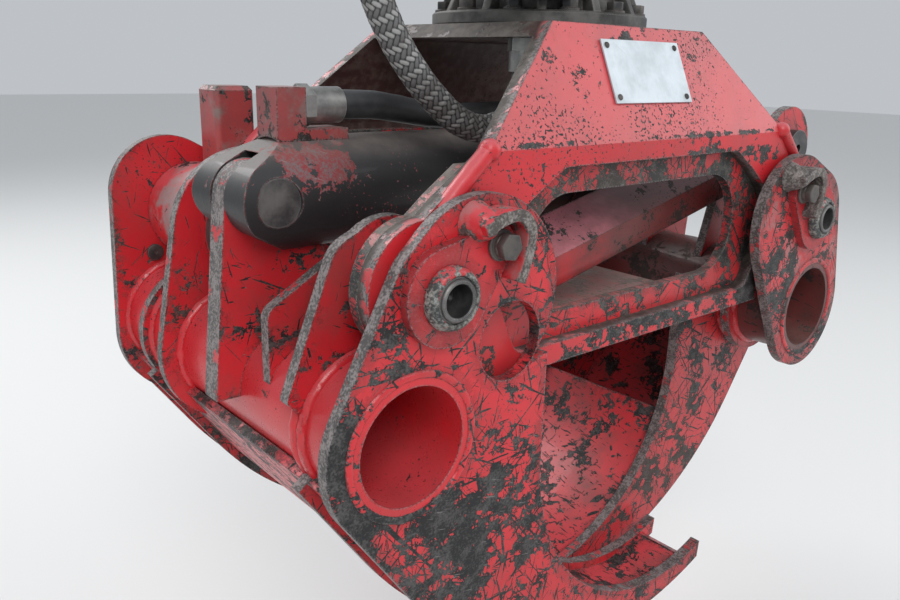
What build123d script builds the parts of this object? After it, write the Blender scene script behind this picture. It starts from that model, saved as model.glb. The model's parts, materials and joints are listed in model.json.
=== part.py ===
from build123d import *
from math import cos, sin, tan, radians, sqrt
import os

# Timber grapple with its rotator and hanger, all sizes in millimetres.
# Drawn with X along the jaw, Y across it and Z up, the two arm pivots at Z = 0.
# At the end every piece is lowered by HANG, so that the origin lies in the
# hanger's top bore, where the grapple hangs from its crane.

# Main layout
PIVOT_X = 250.0          # half the distance between the two arm pivots
HANG = 560.0             # height of the hanger's top bore over the arm pivots
PIN_FIT = 0.05           # radial clearance of a pin that turns in its hole
SIDE_GAP = 1.0           # gap beside a boss or an eye on its pin

CLOSE_PAST = 4.0         # degrees that the arms close past the drawn pose

# Arm plates, seen from above: outer near, inner near, inner far, outer far.
# The near ones are set off from the frame's near wall, the far ones from its far wall.
FRAME_HALF = 149.5             # outer face of the frame's upright walls
PLATE = 10.0
NEAR_CLEAR = 5.5               # from the near wall to the outer near plate
FAR_CLEAR = 6.5                # from the far wall to the inner cheek of the far tine
FAR_REACH = 75.5               # from the far wall to the arms' far end
NEAR_CLEVIS = 46.0
FAR_CLEVIS = 113.0
NARROW_SET = 9.0               # from the inner near plate to the narrow claw's near cheek

ARM_NEAR = -(FRAME_HALF + NEAR_CLEAR + PLATE)
ARM_FAR = FRAME_HALF + FAR_REACH
NEAR_OUT = (ARM_NEAR, ARM_NEAR + PLATE)
NEAR_IN = (NEAR_OUT[1] + NEAR_CLEVIS, NEAR_OUT[1] + NEAR_CLEVIS + PLATE)
FAR_OUT = (ARM_FAR - PLATE, ARM_FAR)
FAR_IN = (FAR_OUT[0] - FAR_CLEVIS - PLATE, FAR_OUT[0] - FAR_CLEVIS)
FAR_TINE = (FRAME_HALF + FAR_CLEAR, FRAME_HALF + FAR_CLEAR + PLATE)
NARROW = (NEAR_IN[1] + NARROW_SET, NEAR_IN[1] + NARROW_SET + PLATE)

# Cross tube that ties an arm's plates together
TUBE = (-271.5, -102.0)
TUBE_R = 51.0
TUBE_WALL = 8.0
STRAP_HOLE = (-185.0, -45.0)   # second hole of the near outer plate
STRAP_HOLE_R = 29.6

# Discs (X, Z, radius) that widen the plates' outlines round the pivots
HEAD_1 = (-213.0, -10.0, 73.0)
HEAD_2 = (-232.0, -88.0, 28.0)
HEAD_4 = [(-274.0, 18.0, 54.0), (-262.0, -116.0, 71.0)]
HEAD_1R = [(217.0, -3.0, 68.0), (258.0, -8.0, 56.0)]
HEAD_4R = [(274.0, 18.0, 54.0), (262.0, -116.0, 66.0)]
PIVOT_RIM = [40.0, 43.5, 71.0, 58.0]       # rim round the left pivot, plates 1 to 4
PIVOT_RIM_R = [43.5, 64.0, 58.0]           # the same on the right arm, plates 2 to 4
TUBE_RIM_R = [66.0, 62.0, 68.0]            # rim round the right arm's tube
LINK_RIM = 32.0
TINE_RIM = 60.0
TINE_GAP = 8.0                             # from the far boss to the far tine's cheek
# Foot of the inner near plate behind the tube, and the link's lever, X and Z
FOOT = [(-294, 27), (-334, -74), (-321, -86), (-228, -96), (-212, 10), (-254, 44)]
FOOT_BENDS = [26, 5, 5, 5, 5, 20]
LEVER = [(-318, -100), (-318, -27), (-252, 11), (-158, -16), (-158, -72), (-240, -100)]
LEVER_BENDS = [4, 12, 24, 26, 20, 4]

# Claw outline in the rest pose, drawn for the left arm
LOBE_R = 68.0                  # plate edge round the tube
BACK_C = (-2.0, -43.0)         # centre of the claw's back
JAW_C = (45.0, -150.0)         # centre of the claw's gripping edge
JAW_R = 190.0
BACK_FROM = 215.0              # angle where the straight back meets its arc
TIP_AT = 290.0
SKIN = 8.0
SKIN_IN = 12.0                 # from the plates' edge to the middle of the skin
FORK_AT = 229.0                # the full-width back ends here, the tines go on
SKIN_END = 286.0
JAW_SKIN_FROM = 200.0

# Arm pins and their bosses
PIN_R = 20.0
PIN_BORE = 12.0
PIN_OUT = 20.0                 # how far a near pin stands out of its plate
FAR_PIN_R = 25.0
NEAR_BOSS_R = 33.0
FAR_BOSS_R = 46.0
COLLAR_R = 44.0
COLLAR = 8.0
WASHER_R = 34.0
WASHER = 10.0

# Flag plate that holds a near pin, its bolt, and the guard round the bolt
FLAG_R = 34.0
FLAG = 8.0
BOLT = (42.5, 29.5)            # from the pin, towards the middle of the grapple
BOLT_LOBE = 14.0
BOLT_HOLE = 5.3
GUARD_W = 9.0
GUARD_OUT = 22.0
GUARD_BOSS = (16.0, 11.0)      # radius on the plate and at the outer end
GUARD_BOSS_AT = (-14.0, 15.0)  # from the bolt
GUARD_PATH = [(-27, 12), (-6, 23), (14, 21), (20, 2), (8, -25)]  # from the bolt
GUARD_BENDS = [18, 13, 20]

# Link that makes the two arms move alike, a folded channel with an eye at each end
LINK_A = (-184.0, -42.0)
LINK_B = (291.0, 63.0)
LINK_W = 32.0
LINK_PIN_R = 15.0
LINK_EYE_R = 27.0
LINK_WALL = 7.0
LINK_SIDE = 5.0                # gap beside the link
LINK_COLLAR = (20.0, 5.0, 12.0)  # radius, middle hole and width of the right pin's collar
EAR_R = 44.0
LINK_Y = (NEAR_IN[1] + LINK_SIDE, NEAR_IN[1] + LINK_SIDE + LINK_W)
LEVER_Y = (LINK_Y[1] + LINK_SIDE, LINK_Y[1] + LINK_SIDE + PLATE)

# Cylinder between the arms
CYL_PIN = (-300.0, 47.0)
CYL_SET = 39.0                 # from the lever to the cylinder's axis
CYL_Y = LEVER_Y[1] + CYL_SET
CYL_PIN_R = 17.5
CYL_LUG = 20.0                 # width of the left arm's lug, inside the barrel's fork
CYL_LUG_R = 27.0
CYL_LUG_FOOT = 70.0
LUG = 10.0                     # each of the right arm's two lugs
LUG_GAP = 66.0
LUG_R = 28.0
LUG_FOOT = 44.0
EYE_W = 60.0
EYE_R = 30.0
FORK_R = 28.0
FORK_GAP = 5.0                 # between the lug's rim and the end of the fork's slot
SHOULDER = 15.0                # from the pin to where the barrel has its full size
BARREL_R = 42.0
BARREL_BORE = 35.0
BORE_FROM = 72.0               # from the base pin to the bore's closed end
BARREL_LEN = 356.0             # from the base pin to the barrel's open end
ROD_R = 25.0
GLAND = 42.0
GLAND_OUT = 8.0
PISTON = 26.0
PISTON_GAP = 15.0
ROD_NECK = 14.0
ROD_SLOT = 5.0                 # half the play of the rod's eye along the rod

# Frame
WALL = 12.0
LINER = 9.5
FRAME_TOP = 176.0
TOP_HALF_X = 100.0
TOP_HALF_Y = 110.0
LEDGE_Z = 87.0
LEDGE_X = 198.0
FRAME_LOW = -82.0
LOW_HALF_X = 185.0
FRAME_LOBE = 47.0
LINER_TOP = 78.0
FLOOR = 12.0
FLOOR_HALF_X = 122.0
NOTCH_X = -75.0                # the floor is cut away here under the link
NOTCH_GAP = 6.0
POST_X = -232.0                # hose post on the far left boss
POST_W = 38.0
POST_GAP = 1.5                 # from the far wall to the post
POST_LOW = 30.0
POST_TOP = 119.0

# Rotator and hanger
FLANGE_R = 98.0
FLANGE = 22.0
ROTOR_R = 70.0
ROTOR_TOP = 236.0
HOUSING_R = 122.0
HOUSING_FROM = 242.0
HOUSING_TOP = 340.0
HOUSING_EDGE = 8.0
NECK_R = 62.0
NECK_TOP = 290.0
BOLT_CIRCLE = 84.0
BOLTS = 6
BOLT_HEAD_R = 12.0
BOLT_HEAD = 10.0
SWING_Z = 425.0
SWING_R = 22.0
FORK_EYE = 48.0
FORK_CHEEK = 24.0
FORK_CLEAR = 5.0
HANGER_EYE = 46.0
HANGER_W = 56.0
TOP_BORE_R = 20.0

# Hoses, their ferrules and hexagons
HOSE_R = 11.0
FERRULE_R = 13.5
FERRULE = 26.0
HEX = 27.0                     # across the flats
HEX_H = 10.0
ROTOR_HOSE_Y = -72.0
PORT_TOP = 226.0
PORT_W = 24.0
PORT_DEPTH = 30.0
PORT_OVER = 2.0                # how far the end port reaches past the barrel's tube
# Route of the rotor's hose, X and Z: up from its port, over, down past the frame's
# open end and round to the underside of the top plate
ROTOR_HOSE = [
    (-121, 262), (-121, 286), (-129, 311), (-150, 329), (-178, 336), (-206, 330), (-228, 312),
    (-242, 287), (-248, 259), (-249, 230), (-243, 202), (-231, 177), (-216, 153), (-198, 132),
    (-177, 113), (-154, 98), (-129, 93), (-105, 100), (-88, 117), (-88, 138),
]
# Route of the barrel's hose, X, Y and Z
BARREL_HOSE = [
    (-226, -8, 111), (-198, -8, 111), (-169, -2, 107.5), (-141, 7, 103), (-112, 14, 99.5),
    (-81, 18, 98), (-50, 19, 98.5), (-20, 18.5, 99), (8, 18.5, 99),
]


def on_circle(centre, radius, angle):
    """The point of a circle at an angle in degrees."""
    return (centre[0] + radius * cos(radians(angle)), centre[1] + radius * sin(radians(angle)))


def shifted(points, by):
    return [(x + by[0], z + by[1]) for x, z in points]


def swung(point, centre, angle):
    """A point of the side view turned about another, from X towards Z, in degrees."""
    x, z = point[0] - centre[0], point[1] - centre[1]
    c, s = cos(radians(angle)), sin(radians(angle))
    return (centre[0] + x * c - z * s, centre[1] + x * s + z * c)


def slab(profile, y_low, y_high):
    """A profile of X and Z made solid between two Y values."""
    return extrude(Plane.XZ.offset(-y_high) * profile, amount=y_high - y_low, dir=(0, -1, 0))


def disc(centre, radius):
    return Pos(centre[0], centre[1]) * Circle(radius)


def ring(centre, outer, inner):
    return disc(centre, outer) - disc(centre, inner)


def hull(*discs):
    """The taut outline round a few discs, each given as (x, z, radius)."""
    edges = [(Pos(x, z) * Circle(radius)).edge() for x, z, radius in discs]
    return make_hull(edges)


def closed(points, radii):
    """A closed outline of straight runs with rounded corners."""
    return make_face(FilletPolyline(*points, radius=radii, close=True))


def both_sides(right):
    """A symmetric outline from its right half, listed from the bottom up."""
    return right + [(-x, z) for x, z in reversed(right)]


def mirrored(shape):
    return mirror(shape, about=Plane.YZ)


# The claw's back is tangent to the plate edge round the tube
along = [cos(radians(BACK_FROM)), sin(radians(BACK_FROM))]
BACK_R = LOBE_R - (BACK_C[0] - TUBE[0]) * along[0] - (BACK_C[1] - TUBE[1]) * along[1]


def blade():
    """The tine from the tube's lobe down and round to its tip, for the left arm."""
    top_out = on_circle(TUBE, LOBE_R, BACK_FROM)
    bend = on_circle(BACK_C, BACK_R, BACK_FROM)
    low = on_circle(BACK_C, BACK_R, (BACK_FROM + TIP_AT) / 2)
    tip_out = on_circle(BACK_C, BACK_R, TIP_AT)
    tip_in = on_circle(JAW_C, JAW_R, TIP_AT)
    jaw_mid = on_circle(JAW_C, JAW_R, (180 + TIP_AT) / 2)
    jaw_top = on_circle(JAW_C, JAW_R, 180)
    shoulder = (jaw_top[0], TUBE[1] + 40)
    edge = [
        Line(top_out, bend),
        ThreePointArc(bend, low, tip_out),
        Line(tip_out, tip_in),
        ThreePointArc(tip_in, jaw_mid, jaw_top),
        Line(jaw_top, shoulder),
        Line(shoulder, TUBE),
        Line(TUBE, top_out),
    ]
    return make_face(edge)


def back_skin(end):
    """The strip of the back from the tube down to an angle."""
    radius = BACK_R - SKIN_IN
    first = on_circle(TUBE, LOBE_R - SKIN_IN, BACK_FROM)
    points = [on_circle(BACK_C, radius, angle) for angle in (BACK_FROM, (BACK_FROM + end) / 2, end)]
    return trace([Line(first, points[0]), ThreePointArc(*points)], line_width=SKIN)


def jaw_skin(start, end):
    """The strip that closes a tine on its gripping side."""
    radius = JAW_R + SKIN_IN
    points = [on_circle(JAW_C, radius, angle) for angle in (start, (start + end) / 2, end)]
    return trace([ThreePointArc(*points)], line_width=SKIN)


nodes = {}

# Left arm: a wide fork of two tines on four plates
pivot = (-PIVOT_X, 0.0)
tube_hole = disc(TUBE, TUBE_R)
claw = blade()
rims = [(*pivot, radius) for radius in PIVOT_RIM]
plate_1 = hull(HEAD_1, rims[0], (*TUBE, LOBE_R)) + claw
plate_1 -= tube_hole + disc(pivot, PIN_R) + disc(STRAP_HOLE, STRAP_HOLE_R)
plate_2 = hull(rims[1], (*LINK_A, LINK_RIM), HEAD_2) + closed(FOOT, FOOT_BENDS) + claw
plate_2 -= tube_hole + disc(pivot, PIN_R) + disc(LINK_A, LINK_PIN_R)
plate_3 = hull(rims[2], (*TUBE, LOBE_R)) - tube_hole - disc(pivot, FAR_PIN_R)
plate_4 = hull(rims[3], *HEAD_4) + claw - tube_hole - disc(pivot, FAR_PIN_R)
tine = claw + disc(TUBE, TINE_RIM) - tube_hole - disc(pivot, FAR_BOSS_R + TINE_GAP)
lever = closed(LEVER, LEVER_BENDS) - tube_hole - disc(LINK_A, LINK_PIN_R)

nodes["left_plate_near_outer"] = slab(plate_1, *NEAR_OUT)
nodes["left_plate_near_inner"] = slab(plate_2, *NEAR_IN)
nodes["left_plate_far_inner"] = slab(plate_3, *FAR_IN)
nodes["left_plate_far_outer"] = slab(plate_4, *FAR_OUT)
nodes["left_tine_far_inner"] = slab(tine, *FAR_TINE)
nodes["left_link_lever"] = slab(lever, *LEVER_Y)

tip_strip = Line(on_circle(BACK_C, BACK_R - SKIN_IN, SKIN_END), on_circle(JAW_C, JAW_R + SKIN_IN, SKIN_END - 2))
tine_skins = back_skin(SKIN_END) + jaw_skin(JAW_SKIN_FROM, SKIN_END - 2) + trace([tip_strip], line_width=SKIN)
nodes["left_near_tine_skins"] = slab(tine_skins, NEAR_OUT[1], NEAR_IN[0])
nodes["left_far_tine_skins"] = slab(tine_skins, FAR_TINE[1], FAR_OUT[0])
full_back = slab(back_skin(FORK_AT), NEAR_IN[1], FAR_TINE[0])
nodes["left_back_plate"] = full_back - nodes["left_plate_far_inner"]

# Right arm: the same four plates round its tube, and one narrow claw
tube_r = (-TUBE[0], TUBE[1])
pivot_r = (PIVOT_X, 0.0)
right_hole = disc(tube_r, TUBE_R)
claw_r = mirrored(claw)
plate_1r = hull(*HEAD_1R, (*tube_r, TUBE_RIM_R[0])) - right_hole - disc(pivot_r, PIN_R)
plate_2r = hull((*pivot_r, PIVOT_RIM_R[0]), (*LINK_B, EAR_R), (*tube_r, TUBE_RIM_R[1]))
plate_2r -= right_hole + disc(pivot_r, PIN_R) + disc(LINK_B, LINK_PIN_R)
plate_3r = hull((*pivot_r, PIVOT_RIM_R[1]), (*tube_r, TUBE_RIM_R[2])) + claw_r
plate_3r -= right_hole + disc(pivot_r, FAR_PIN_R)
plate_4r = hull((*pivot_r, PIVOT_RIM_R[2]), *HEAD_4R) - right_hole - disc(pivot_r, FAR_PIN_R)
cheek = claw_r + disc(tube_r, LOBE_R) - right_hole

nodes["right_plate_near_outer"] = slab(plate_1r, *NEAR_OUT)
nodes["right_plate_near_inner"] = slab(plate_2r, *NEAR_IN)
nodes["right_plate_far_inner"] = slab(plate_3r, *FAR_IN)
nodes["right_plate_far_outer"] = slab(plate_4r, *FAR_OUT)
nodes["right_claw_cheek"] = slab(cheek, *NARROW)
nodes["right_claw_skins"] = slab(mirrored(tine_skins), NARROW[1], FAR_IN[0])

# Tubes, pins, bosses, flag plates and bolt guards of both arms
for side, sign in (("left", -1), ("right", 1)):
    at = (sign * PIVOT_X, 0.0)
    tube_at = (sign * -TUBE[0], TUBE[1])
    nodes[side + "_cross_tube"] = slab(ring(tube_at, TUBE_R, TUBE_R - TUBE_WALL), ARM_NEAR, ARM_FAR)
    nodes[side + "_near_pin"] = slab(ring(at, PIN_R, PIN_BORE), NEAR_OUT[0] - PIN_OUT, NEAR_IN[1] + 3)
    far_pin = slab(disc(at, FAR_PIN_R), FAR_IN[0], FAR_OUT[1])
    far_pin += slab(disc(at, COLLAR_R), FAR_IN[0] - COLLAR, FAR_IN[0])
    far_pin += slab(disc(at, WASHER_R), FAR_OUT[1], FAR_OUT[1] + WASHER)
    nodes[side + "_far_pin"] = far_pin
    nodes[side + "_near_boss"] = slab(
        ring(at, NEAR_BOSS_R, PIN_R + PIN_FIT), NEAR_OUT[1] + SIDE_GAP, NEAR_IN[0] - SIDE_GAP
    )
    nodes[side + "_far_boss"] = slab(
        ring(at, FAR_BOSS_R, FAR_PIN_R + PIN_FIT), FAR_IN[1] + SIDE_GAP, FAR_OUT[0] - SIDE_GAP
    )
    bolt_at = (at[0] - sign * BOLT[0], at[1] + BOLT[1])
    flag_outline = hull((*at, FLAG_R), (*bolt_at, BOLT_LOBE))
    flag = flag_outline - disc(at, PIN_R) - disc(bolt_at, BOLT_HOLE)
    nodes[side + "_pin_flag"] = slab(flag, NEAR_OUT[0] - FLAG, NEAR_OUT[0])
    bar = trace(FilletPolyline(*shifted(GUARD_PATH, bolt_at), radius=GUARD_BENDS), line_width=GUARD_W)
    guard = slab(bar, NEAR_OUT[0] - GUARD_OUT, NEAR_OUT[0])
    boss_x, boss_z = shifted([GUARD_BOSS_AT], bolt_at)[0]
    cone = Rot(90, 0, 0) * Cone(GUARD_BOSS[0], GUARD_BOSS[1], GUARD_OUT)
    guard += Pos(boss_x, NEAR_OUT[0] - GUARD_OUT / 2, boss_z) * cone
    nodes[side + "_bolt_guard"] = guard - slab(flag_outline, NEAR_OUT[0] - FLAG, NEAR_OUT[0])

# Cylinder lugs: one on the left arm inside the barrel's fork, two on the right arm
cyl_pin_r = (-CYL_PIN[0], CYL_PIN[1])
lug_half = CYL_LUG / 2
left_lug = hull((*CYL_PIN, CYL_LUG_R), (*TUBE, CYL_LUG_FOOT)) - tube_hole - disc(CYL_PIN, CYL_PIN_R)
left_lug -= Pos(TUBE[0], TUBE[1] - 100) * Rectangle(400, 200)
right_lug = hull((*cyl_pin_r, LUG_R), (*tube_r, LUG_FOOT)) - right_hole - disc(cyl_pin_r, CYL_PIN_R)
right_lugs = slab(right_lug, CYL_Y - LUG_GAP / 2 - LUG, CYL_Y - LUG_GAP / 2)
right_lugs += slab(right_lug, CYL_Y + LUG_GAP / 2, CYL_Y + LUG_GAP / 2 + LUG)
pin_half = LUG_GAP / 2 + LUG + 4
fork_pin_half = sqrt(BARREL_R**2 - CYL_PIN_R**2) + 1
nodes["left_cylinder_lug"] = slab(left_lug, CYL_Y - lug_half, CYL_Y + lug_half)
nodes["right_cylinder_lugs"] = right_lugs
nodes["left_cylinder_pin"] = slab(disc(CYL_PIN, CYL_PIN_R), CYL_Y - fork_pin_half, CYL_Y + fork_pin_half)
nodes["right_cylinder_pin"] = slab(disc(cyl_pin_r, CYL_PIN_R), CYL_Y - pin_half, CYL_Y + pin_half)


def round_bar(x_low, x_high, radius):
    """A round bar along the cylinder's axis."""
    return Pos((x_low + x_high) / 2, CYL_Y, CYL_PIN[1]) * Rot(0, 90, 0) * Cylinder(radius, x_high - x_low)


# Cylinder barrel: a round body whose base is a fork over the left arm's lug
barrel_end = CYL_PIN[0] + BARREL_LEN
base_to = CYL_PIN[0] + BORE_FROM
base = round_bar(CYL_PIN[0] - FORK_R, base_to, BARREL_R)
base_outline = hull(
    (*CYL_PIN, FORK_R),
    (CYL_PIN[0] + SHOULDER + 6, CYL_PIN[1] + BARREL_R - 6, 6),
    (CYL_PIN[0] + SHOULDER + 6, CYL_PIN[1] - BARREL_R + 6, 6),
    (base_to + 10, CYL_PIN[1] + BARREL_R - 6, 6),
    (base_to + 10, CYL_PIN[1] - BARREL_R + 6, 6),
)
base &= slab(base_outline, CYL_Y - BARREL_R, CYL_Y + BARREL_R)
foot_at = swung(TUBE, CYL_PIN, CLOSE_PAST)
swept_at = swung(TUBE, CYL_PIN, -90)
fork_slot = hull(
    (*CYL_PIN, CYL_LUG_R + FORK_GAP),
    (*foot_at, CYL_LUG_FOOT + FORK_GAP),
    (*swept_at, CYL_LUG_FOOT + FORK_GAP),
)
barrel = base + round_bar(base_to, barrel_end, BARREL_R)
barrel -= slab(fork_slot, CYL_Y - lug_half - SIDE_GAP, CYL_Y + lug_half + SIDE_GAP)
barrel -= slab(disc(CYL_PIN, CYL_PIN_R + PIN_FIT), CYL_Y - BARREL_R - 1, CYL_Y + BARREL_R + 1)
barrel -= round_bar(base_to, barrel_end, BARREL_BORE)
barrel += round_bar(barrel_end - GLAND, barrel_end + GLAND_OUT, BARREL_R + 2)
hose_end = BARREL_HOSE[-1]
port_from = barrel_end + PORT_OVER - PORT_W
port_top = hose_end[2] + HEX / 2
port = Pos(port_from + PORT_W / 2, hose_end[1], (port_top + CYL_PIN[1]) / 2)
barrel += port * Box(PORT_W, PORT_DEPTH, port_top - CYL_PIN[1])
barrel -= round_bar(barrel_end - GLAND, barrel_end + GLAND_OUT, ROD_R + PIN_FIT)
nodes["cylinder_barrel"] = barrel

# Cylinder rod with its piston and slotted eye
piston_at = barrel_end - GLAND - PISTON_GAP
rod = round_bar(piston_at - PISTON, cyl_pin_r[0] - CYL_PIN_R - ROD_SLOT - 1, ROD_R)
rod += round_bar(piston_at - PISTON, piston_at, BARREL_BORE - PIN_FIT)
rod_eye = hull((*cyl_pin_r, EYE_R), (cyl_pin_r[0] - ROD_NECK, cyl_pin_r[1], ROD_R + 2))
rod += slab(rod_eye, CYL_Y - EYE_W / 2, CYL_Y + EYE_W / 2)
slot = Pos(*cyl_pin_r) * SlotCenterToCenter(2 * ROD_SLOT, 2 * (CYL_PIN_R + PIN_FIT))
rod -= slab(slot, CYL_Y - EYE_W, CYL_Y + EYE_W)
nodes["cylinder_rod"] = rod

# Link between the arms, beside the cylinder
beam = hull((*LINK_A, LINK_EYE_R), (*LINK_B, LINK_EYE_R))
link = slab(beam, LINK_Y[0], LINK_Y[0] + LINK_WALL)
link += slab(beam - offset(beam, amount=-LINK_WALL), *LINK_Y)
for eye in (LINK_A, LINK_B):
    link += slab(disc(eye, LINK_EYE_R), *LINK_Y)
    link -= slab(disc(eye, LINK_PIN_R + PIN_FIT), LINK_Y[0] - 1, LINK_Y[1] + 1)
nodes["arm_link"] = link
nodes["left_link_pin"] = slab(disc(LINK_A, LINK_PIN_R), NEAR_IN[0] - 6, LEVER_Y[1] + 2)
collar = slab(ring(LINK_B, LINK_COLLAR[0], LINK_COLLAR[1]), NEAR_IN[0] - LINK_COLLAR[2], NEAR_IN[0])
nodes["right_link_pin"] = collar + slab(disc(LINK_B, LINK_PIN_R), *NEAR_IN)

# Frame: a folded saddle over the cylinder, with lined walls and a floor
outside = Polygon(
    *both_sides([(FRAME_HALF, FRAME_LOW - 40), (FRAME_HALF, LEDGE_Z), (TOP_HALF_Y, FRAME_TOP)]),
    align=None,
)
inside = offset(outside, amount=-WALL, kind=Kind.INTERSECTION)
inside += Pos(0, FRAME_LOW - 20) * Rectangle(2 * (FRAME_HALF - WALL), 60)
saddle = extrude(Plane.YZ * (outside - inside), amount=400, both=True)
side_points = [
    (LOW_HALF_X, FRAME_LOW),
    (PIVOT_X - 24, -40),
    (PIVOT_X + 9, 20),
    (PIVOT_X + 9, 42),
    (PIVOT_X - 12, 59),
    (LEDGE_X, LEDGE_Z),
    (TOP_HALF_X, FRAME_TOP),
]
outline = Polygon(*both_sides(side_points), align=None)
near_outline = outline + disc((-PIVOT_X, 0), FRAME_LOBE) + disc((PIVOT_X, 0), FRAME_LOBE)
recess = closed(both_sides([(162, -65), (193, 0), (183, 29), (152, 52), (119, 72)]), [14] * 10)
window = closed([(142, -44), (142, 50), (-142, 50), (-142, -44)], [42] * 4)
boss_holes = slab(disc((-PIVOT_X, 0), NEAR_BOSS_R) + disc((PIVOT_X, 0), NEAR_BOSS_R), -400, 0)
boss_holes += slab(disc((-PIVOT_X, 0), FAR_BOSS_R) + disc((PIVOT_X, 0), FAR_BOSS_R), 0, 400)
saddle &= slab(near_outline, -400, 0) + slab(outline, 0, 400)
saddle -= slab(recess, -400, -FRAME_HALF + WALL)
saddle -= slab(recess, FRAME_HALF - WALL, 400)
saddle -= boss_holes
nodes["frame_saddle"] = saddle

wall_in = FRAME_HALF - WALL
floor_half_y = wall_in - LINER
liner_cut = Pos(0, LINER_TOP - 200) * Rectangle(800, 400) - window
nodes["frame_near_liner"] = slab(near_outline & liner_cut, -wall_in, -floor_half_y) - boss_holes
nodes["frame_far_liner"] = slab(outline & liner_cut, floor_half_y, wall_in) - boss_holes
floor_top = FRAME_LOW + FLOOR
floor_plate = Pos(0, 0, FRAME_LOW + FLOOR / 2) * Box(2 * FLOOR_HALF_X, 2 * floor_half_y, FLOOR)
notch = Polygon((NOTCH_X, FRAME_LOW - 1), (NOTCH_X, floor_top + 1), (-400, floor_top + 1), (-400, FRAME_LOW - 1),
                align=None)
nodes["frame_floor"] = floor_plate - slab(notch, LINK_Y[0] - NOTCH_GAP, LINK_Y[1] + NOTCH_GAP)
post_y = FRAME_HALF + POST_GAP + POST_W / 2
post_foot = Plane.XY.offset(POST_LOW) * Pos(POST_X, post_y) * RectangleRounded(POST_W, POST_W, 5)
post = extrude(post_foot, POST_TOP - POST_LOW)
post = chamfer(post.edges().group_by(Axis.Z)[-1], 4)
nodes["frame_hose_post"] = post - slab(disc((-PIVOT_X, 0), FAR_BOSS_R), post_y - POST_W, post_y + POST_W)

# Rotator on top of the frame, and the hanger over it
hose_start = ROTOR_HOSE[0]
flange = Pos(0, 0, FRAME_TOP + FLANGE / 2) * Cylinder(FLANGE_R, FLANGE)
rotor_from = FRAME_TOP + FLANGE
rotor = flange + Pos(0, 0, (rotor_from + ROTOR_TOP) / 2) * Cylinder(ROTOR_R, ROTOR_TOP - rotor_from)
rotor += Pos(0, 0, (rotor_from + NECK_TOP) / 2) * Cylinder(NECK_R, NECK_TOP - rotor_from)
port_low = rotor_from + 2
port_x = hose_start[0] - PORT_DEPTH / 2
port_block = Pos(port_x / 2 - 15, ROTOR_HOSE_Y, (port_low + PORT_TOP) / 2)
port_block *= Box(-port_x - 30, PORT_DEPTH, PORT_TOP - port_low)
nodes["rotor"] = rotor + port_block
bolt_head = Pos(0, 0, rotor_from) * extrude(RegularPolygon(BOLT_HEAD_R, 6), amount=BOLT_HEAD)
bolt_spots = PolarLocations(BOLT_CIRCLE, BOLTS, start_angle=30)
nodes["rotor_bolts"] = Compound(children=[spot * bolt_head for spot in bolt_spots])
housing = Pos(0, 0, (HOUSING_FROM + HOUSING_TOP) / 2) * Cylinder(HOUSING_R, HOUSING_TOP - HOUSING_FROM)
housing = chamfer(housing.edges().filter_by(GeomType.CIRCLE), HOUSING_EDGE)
housing -= Pos(0, 0, (HOUSING_FROM + NECK_TOP) / 2) * Cylinder(NECK_R + PIN_FIT, NECK_TOP - HOUSING_FROM + 2)
fork = hull((0, SWING_Z, FORK_EYE), (-48, HOUSING_TOP - 4, 12), (48, HOUSING_TOP - 4, 12))
fork -= disc((0, SWING_Z), SWING_R)
cheek_in = HANGER_W / 2 + FORK_CLEAR
housing += slab(fork, -cheek_in - FORK_CHEEK, -cheek_in)
housing += slab(fork, cheek_in, cheek_in + FORK_CHEEK)
nodes["rotator_housing"] = housing
swing_half = cheek_in + FORK_CHEEK + 6
nodes["swing_pin"] = slab(disc((0, SWING_Z), SWING_R), -swing_half, swing_half)
lower_eye = slab(disc((0, SWING_Z), HANGER_EYE), -HANGER_W / 2, HANGER_W / 2)
upper_eye = Pos(0, 0, HANG) * Rot(0, 90, 0) * Cylinder(HANGER_EYE, HANGER_W)
web = Pos(0, 0, (SWING_Z + HANG) / 2) * Box(HANGER_W, HANGER_W, HANG - SWING_Z)
hanger = lower_eye + upper_eye + web
hanger -= slab(disc((0, SWING_Z), SWING_R + PIN_FIT), -60, 60)
hanger -= Pos(0, 0, HANG) * Rot(0, 90, 0) * Cylinder(TOP_BORE_R, 100)
nodes["hanger"] = hanger


def hose(points):
    """A tube along straight runs joined by arcs as large as the runs allow."""
    vectors = [Vector(*point) for point in points]
    runs = [b - a for a, b in zip(vectors, vectors[1:])]
    radii = []
    for before, after in zip(runs, runs[1:]):
        half_turn = radians(before.get_angle(after)) / 2
        radii.append(0.45 * min(before.length, after.length) / tan(half_turn))
    path = FilletPolyline(*points, radius=radii)
    section = Plane(origin=path @ 0, z_dir=path % 0) * Circle(HOSE_R)
    print("hose", round(path.length), "smallest bend", round(min(radii)))
    return sweep(section, path=path)


def fitting(length):
    """A hexagon and the ferrule on it, standing on the origin along Z."""
    nut = extrude(RegularPolygon(HEX / 2, 6, major_radius=False), amount=HEX_H)
    return nut + Pos(0, 0, (HEX_H + length) / 2) * Cylinder(FERRULE_R, length - HEX_H)


# Braided hose on the rotor, from its port round to the underside of the top plate
nodes["rotor_hose"] = hose([(x, ROTOR_HOSE_Y, z) for x, z in ROTOR_HOSE])
plate_under = FRAME_TOP - WALL
upper = Pos(hose_start[0], ROTOR_HOSE_Y, PORT_TOP) * fitting(hose_start[1] - PORT_TOP)
hose_stop = ROTOR_HOSE[-1]
lower = Pos(hose_stop[0], ROTOR_HOSE_Y, plate_under) * Rot(180, 0, 0) * fitting(plate_under - hose_stop[1])
nodes["rotor_hose_fittings"] = upper + lower

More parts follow.
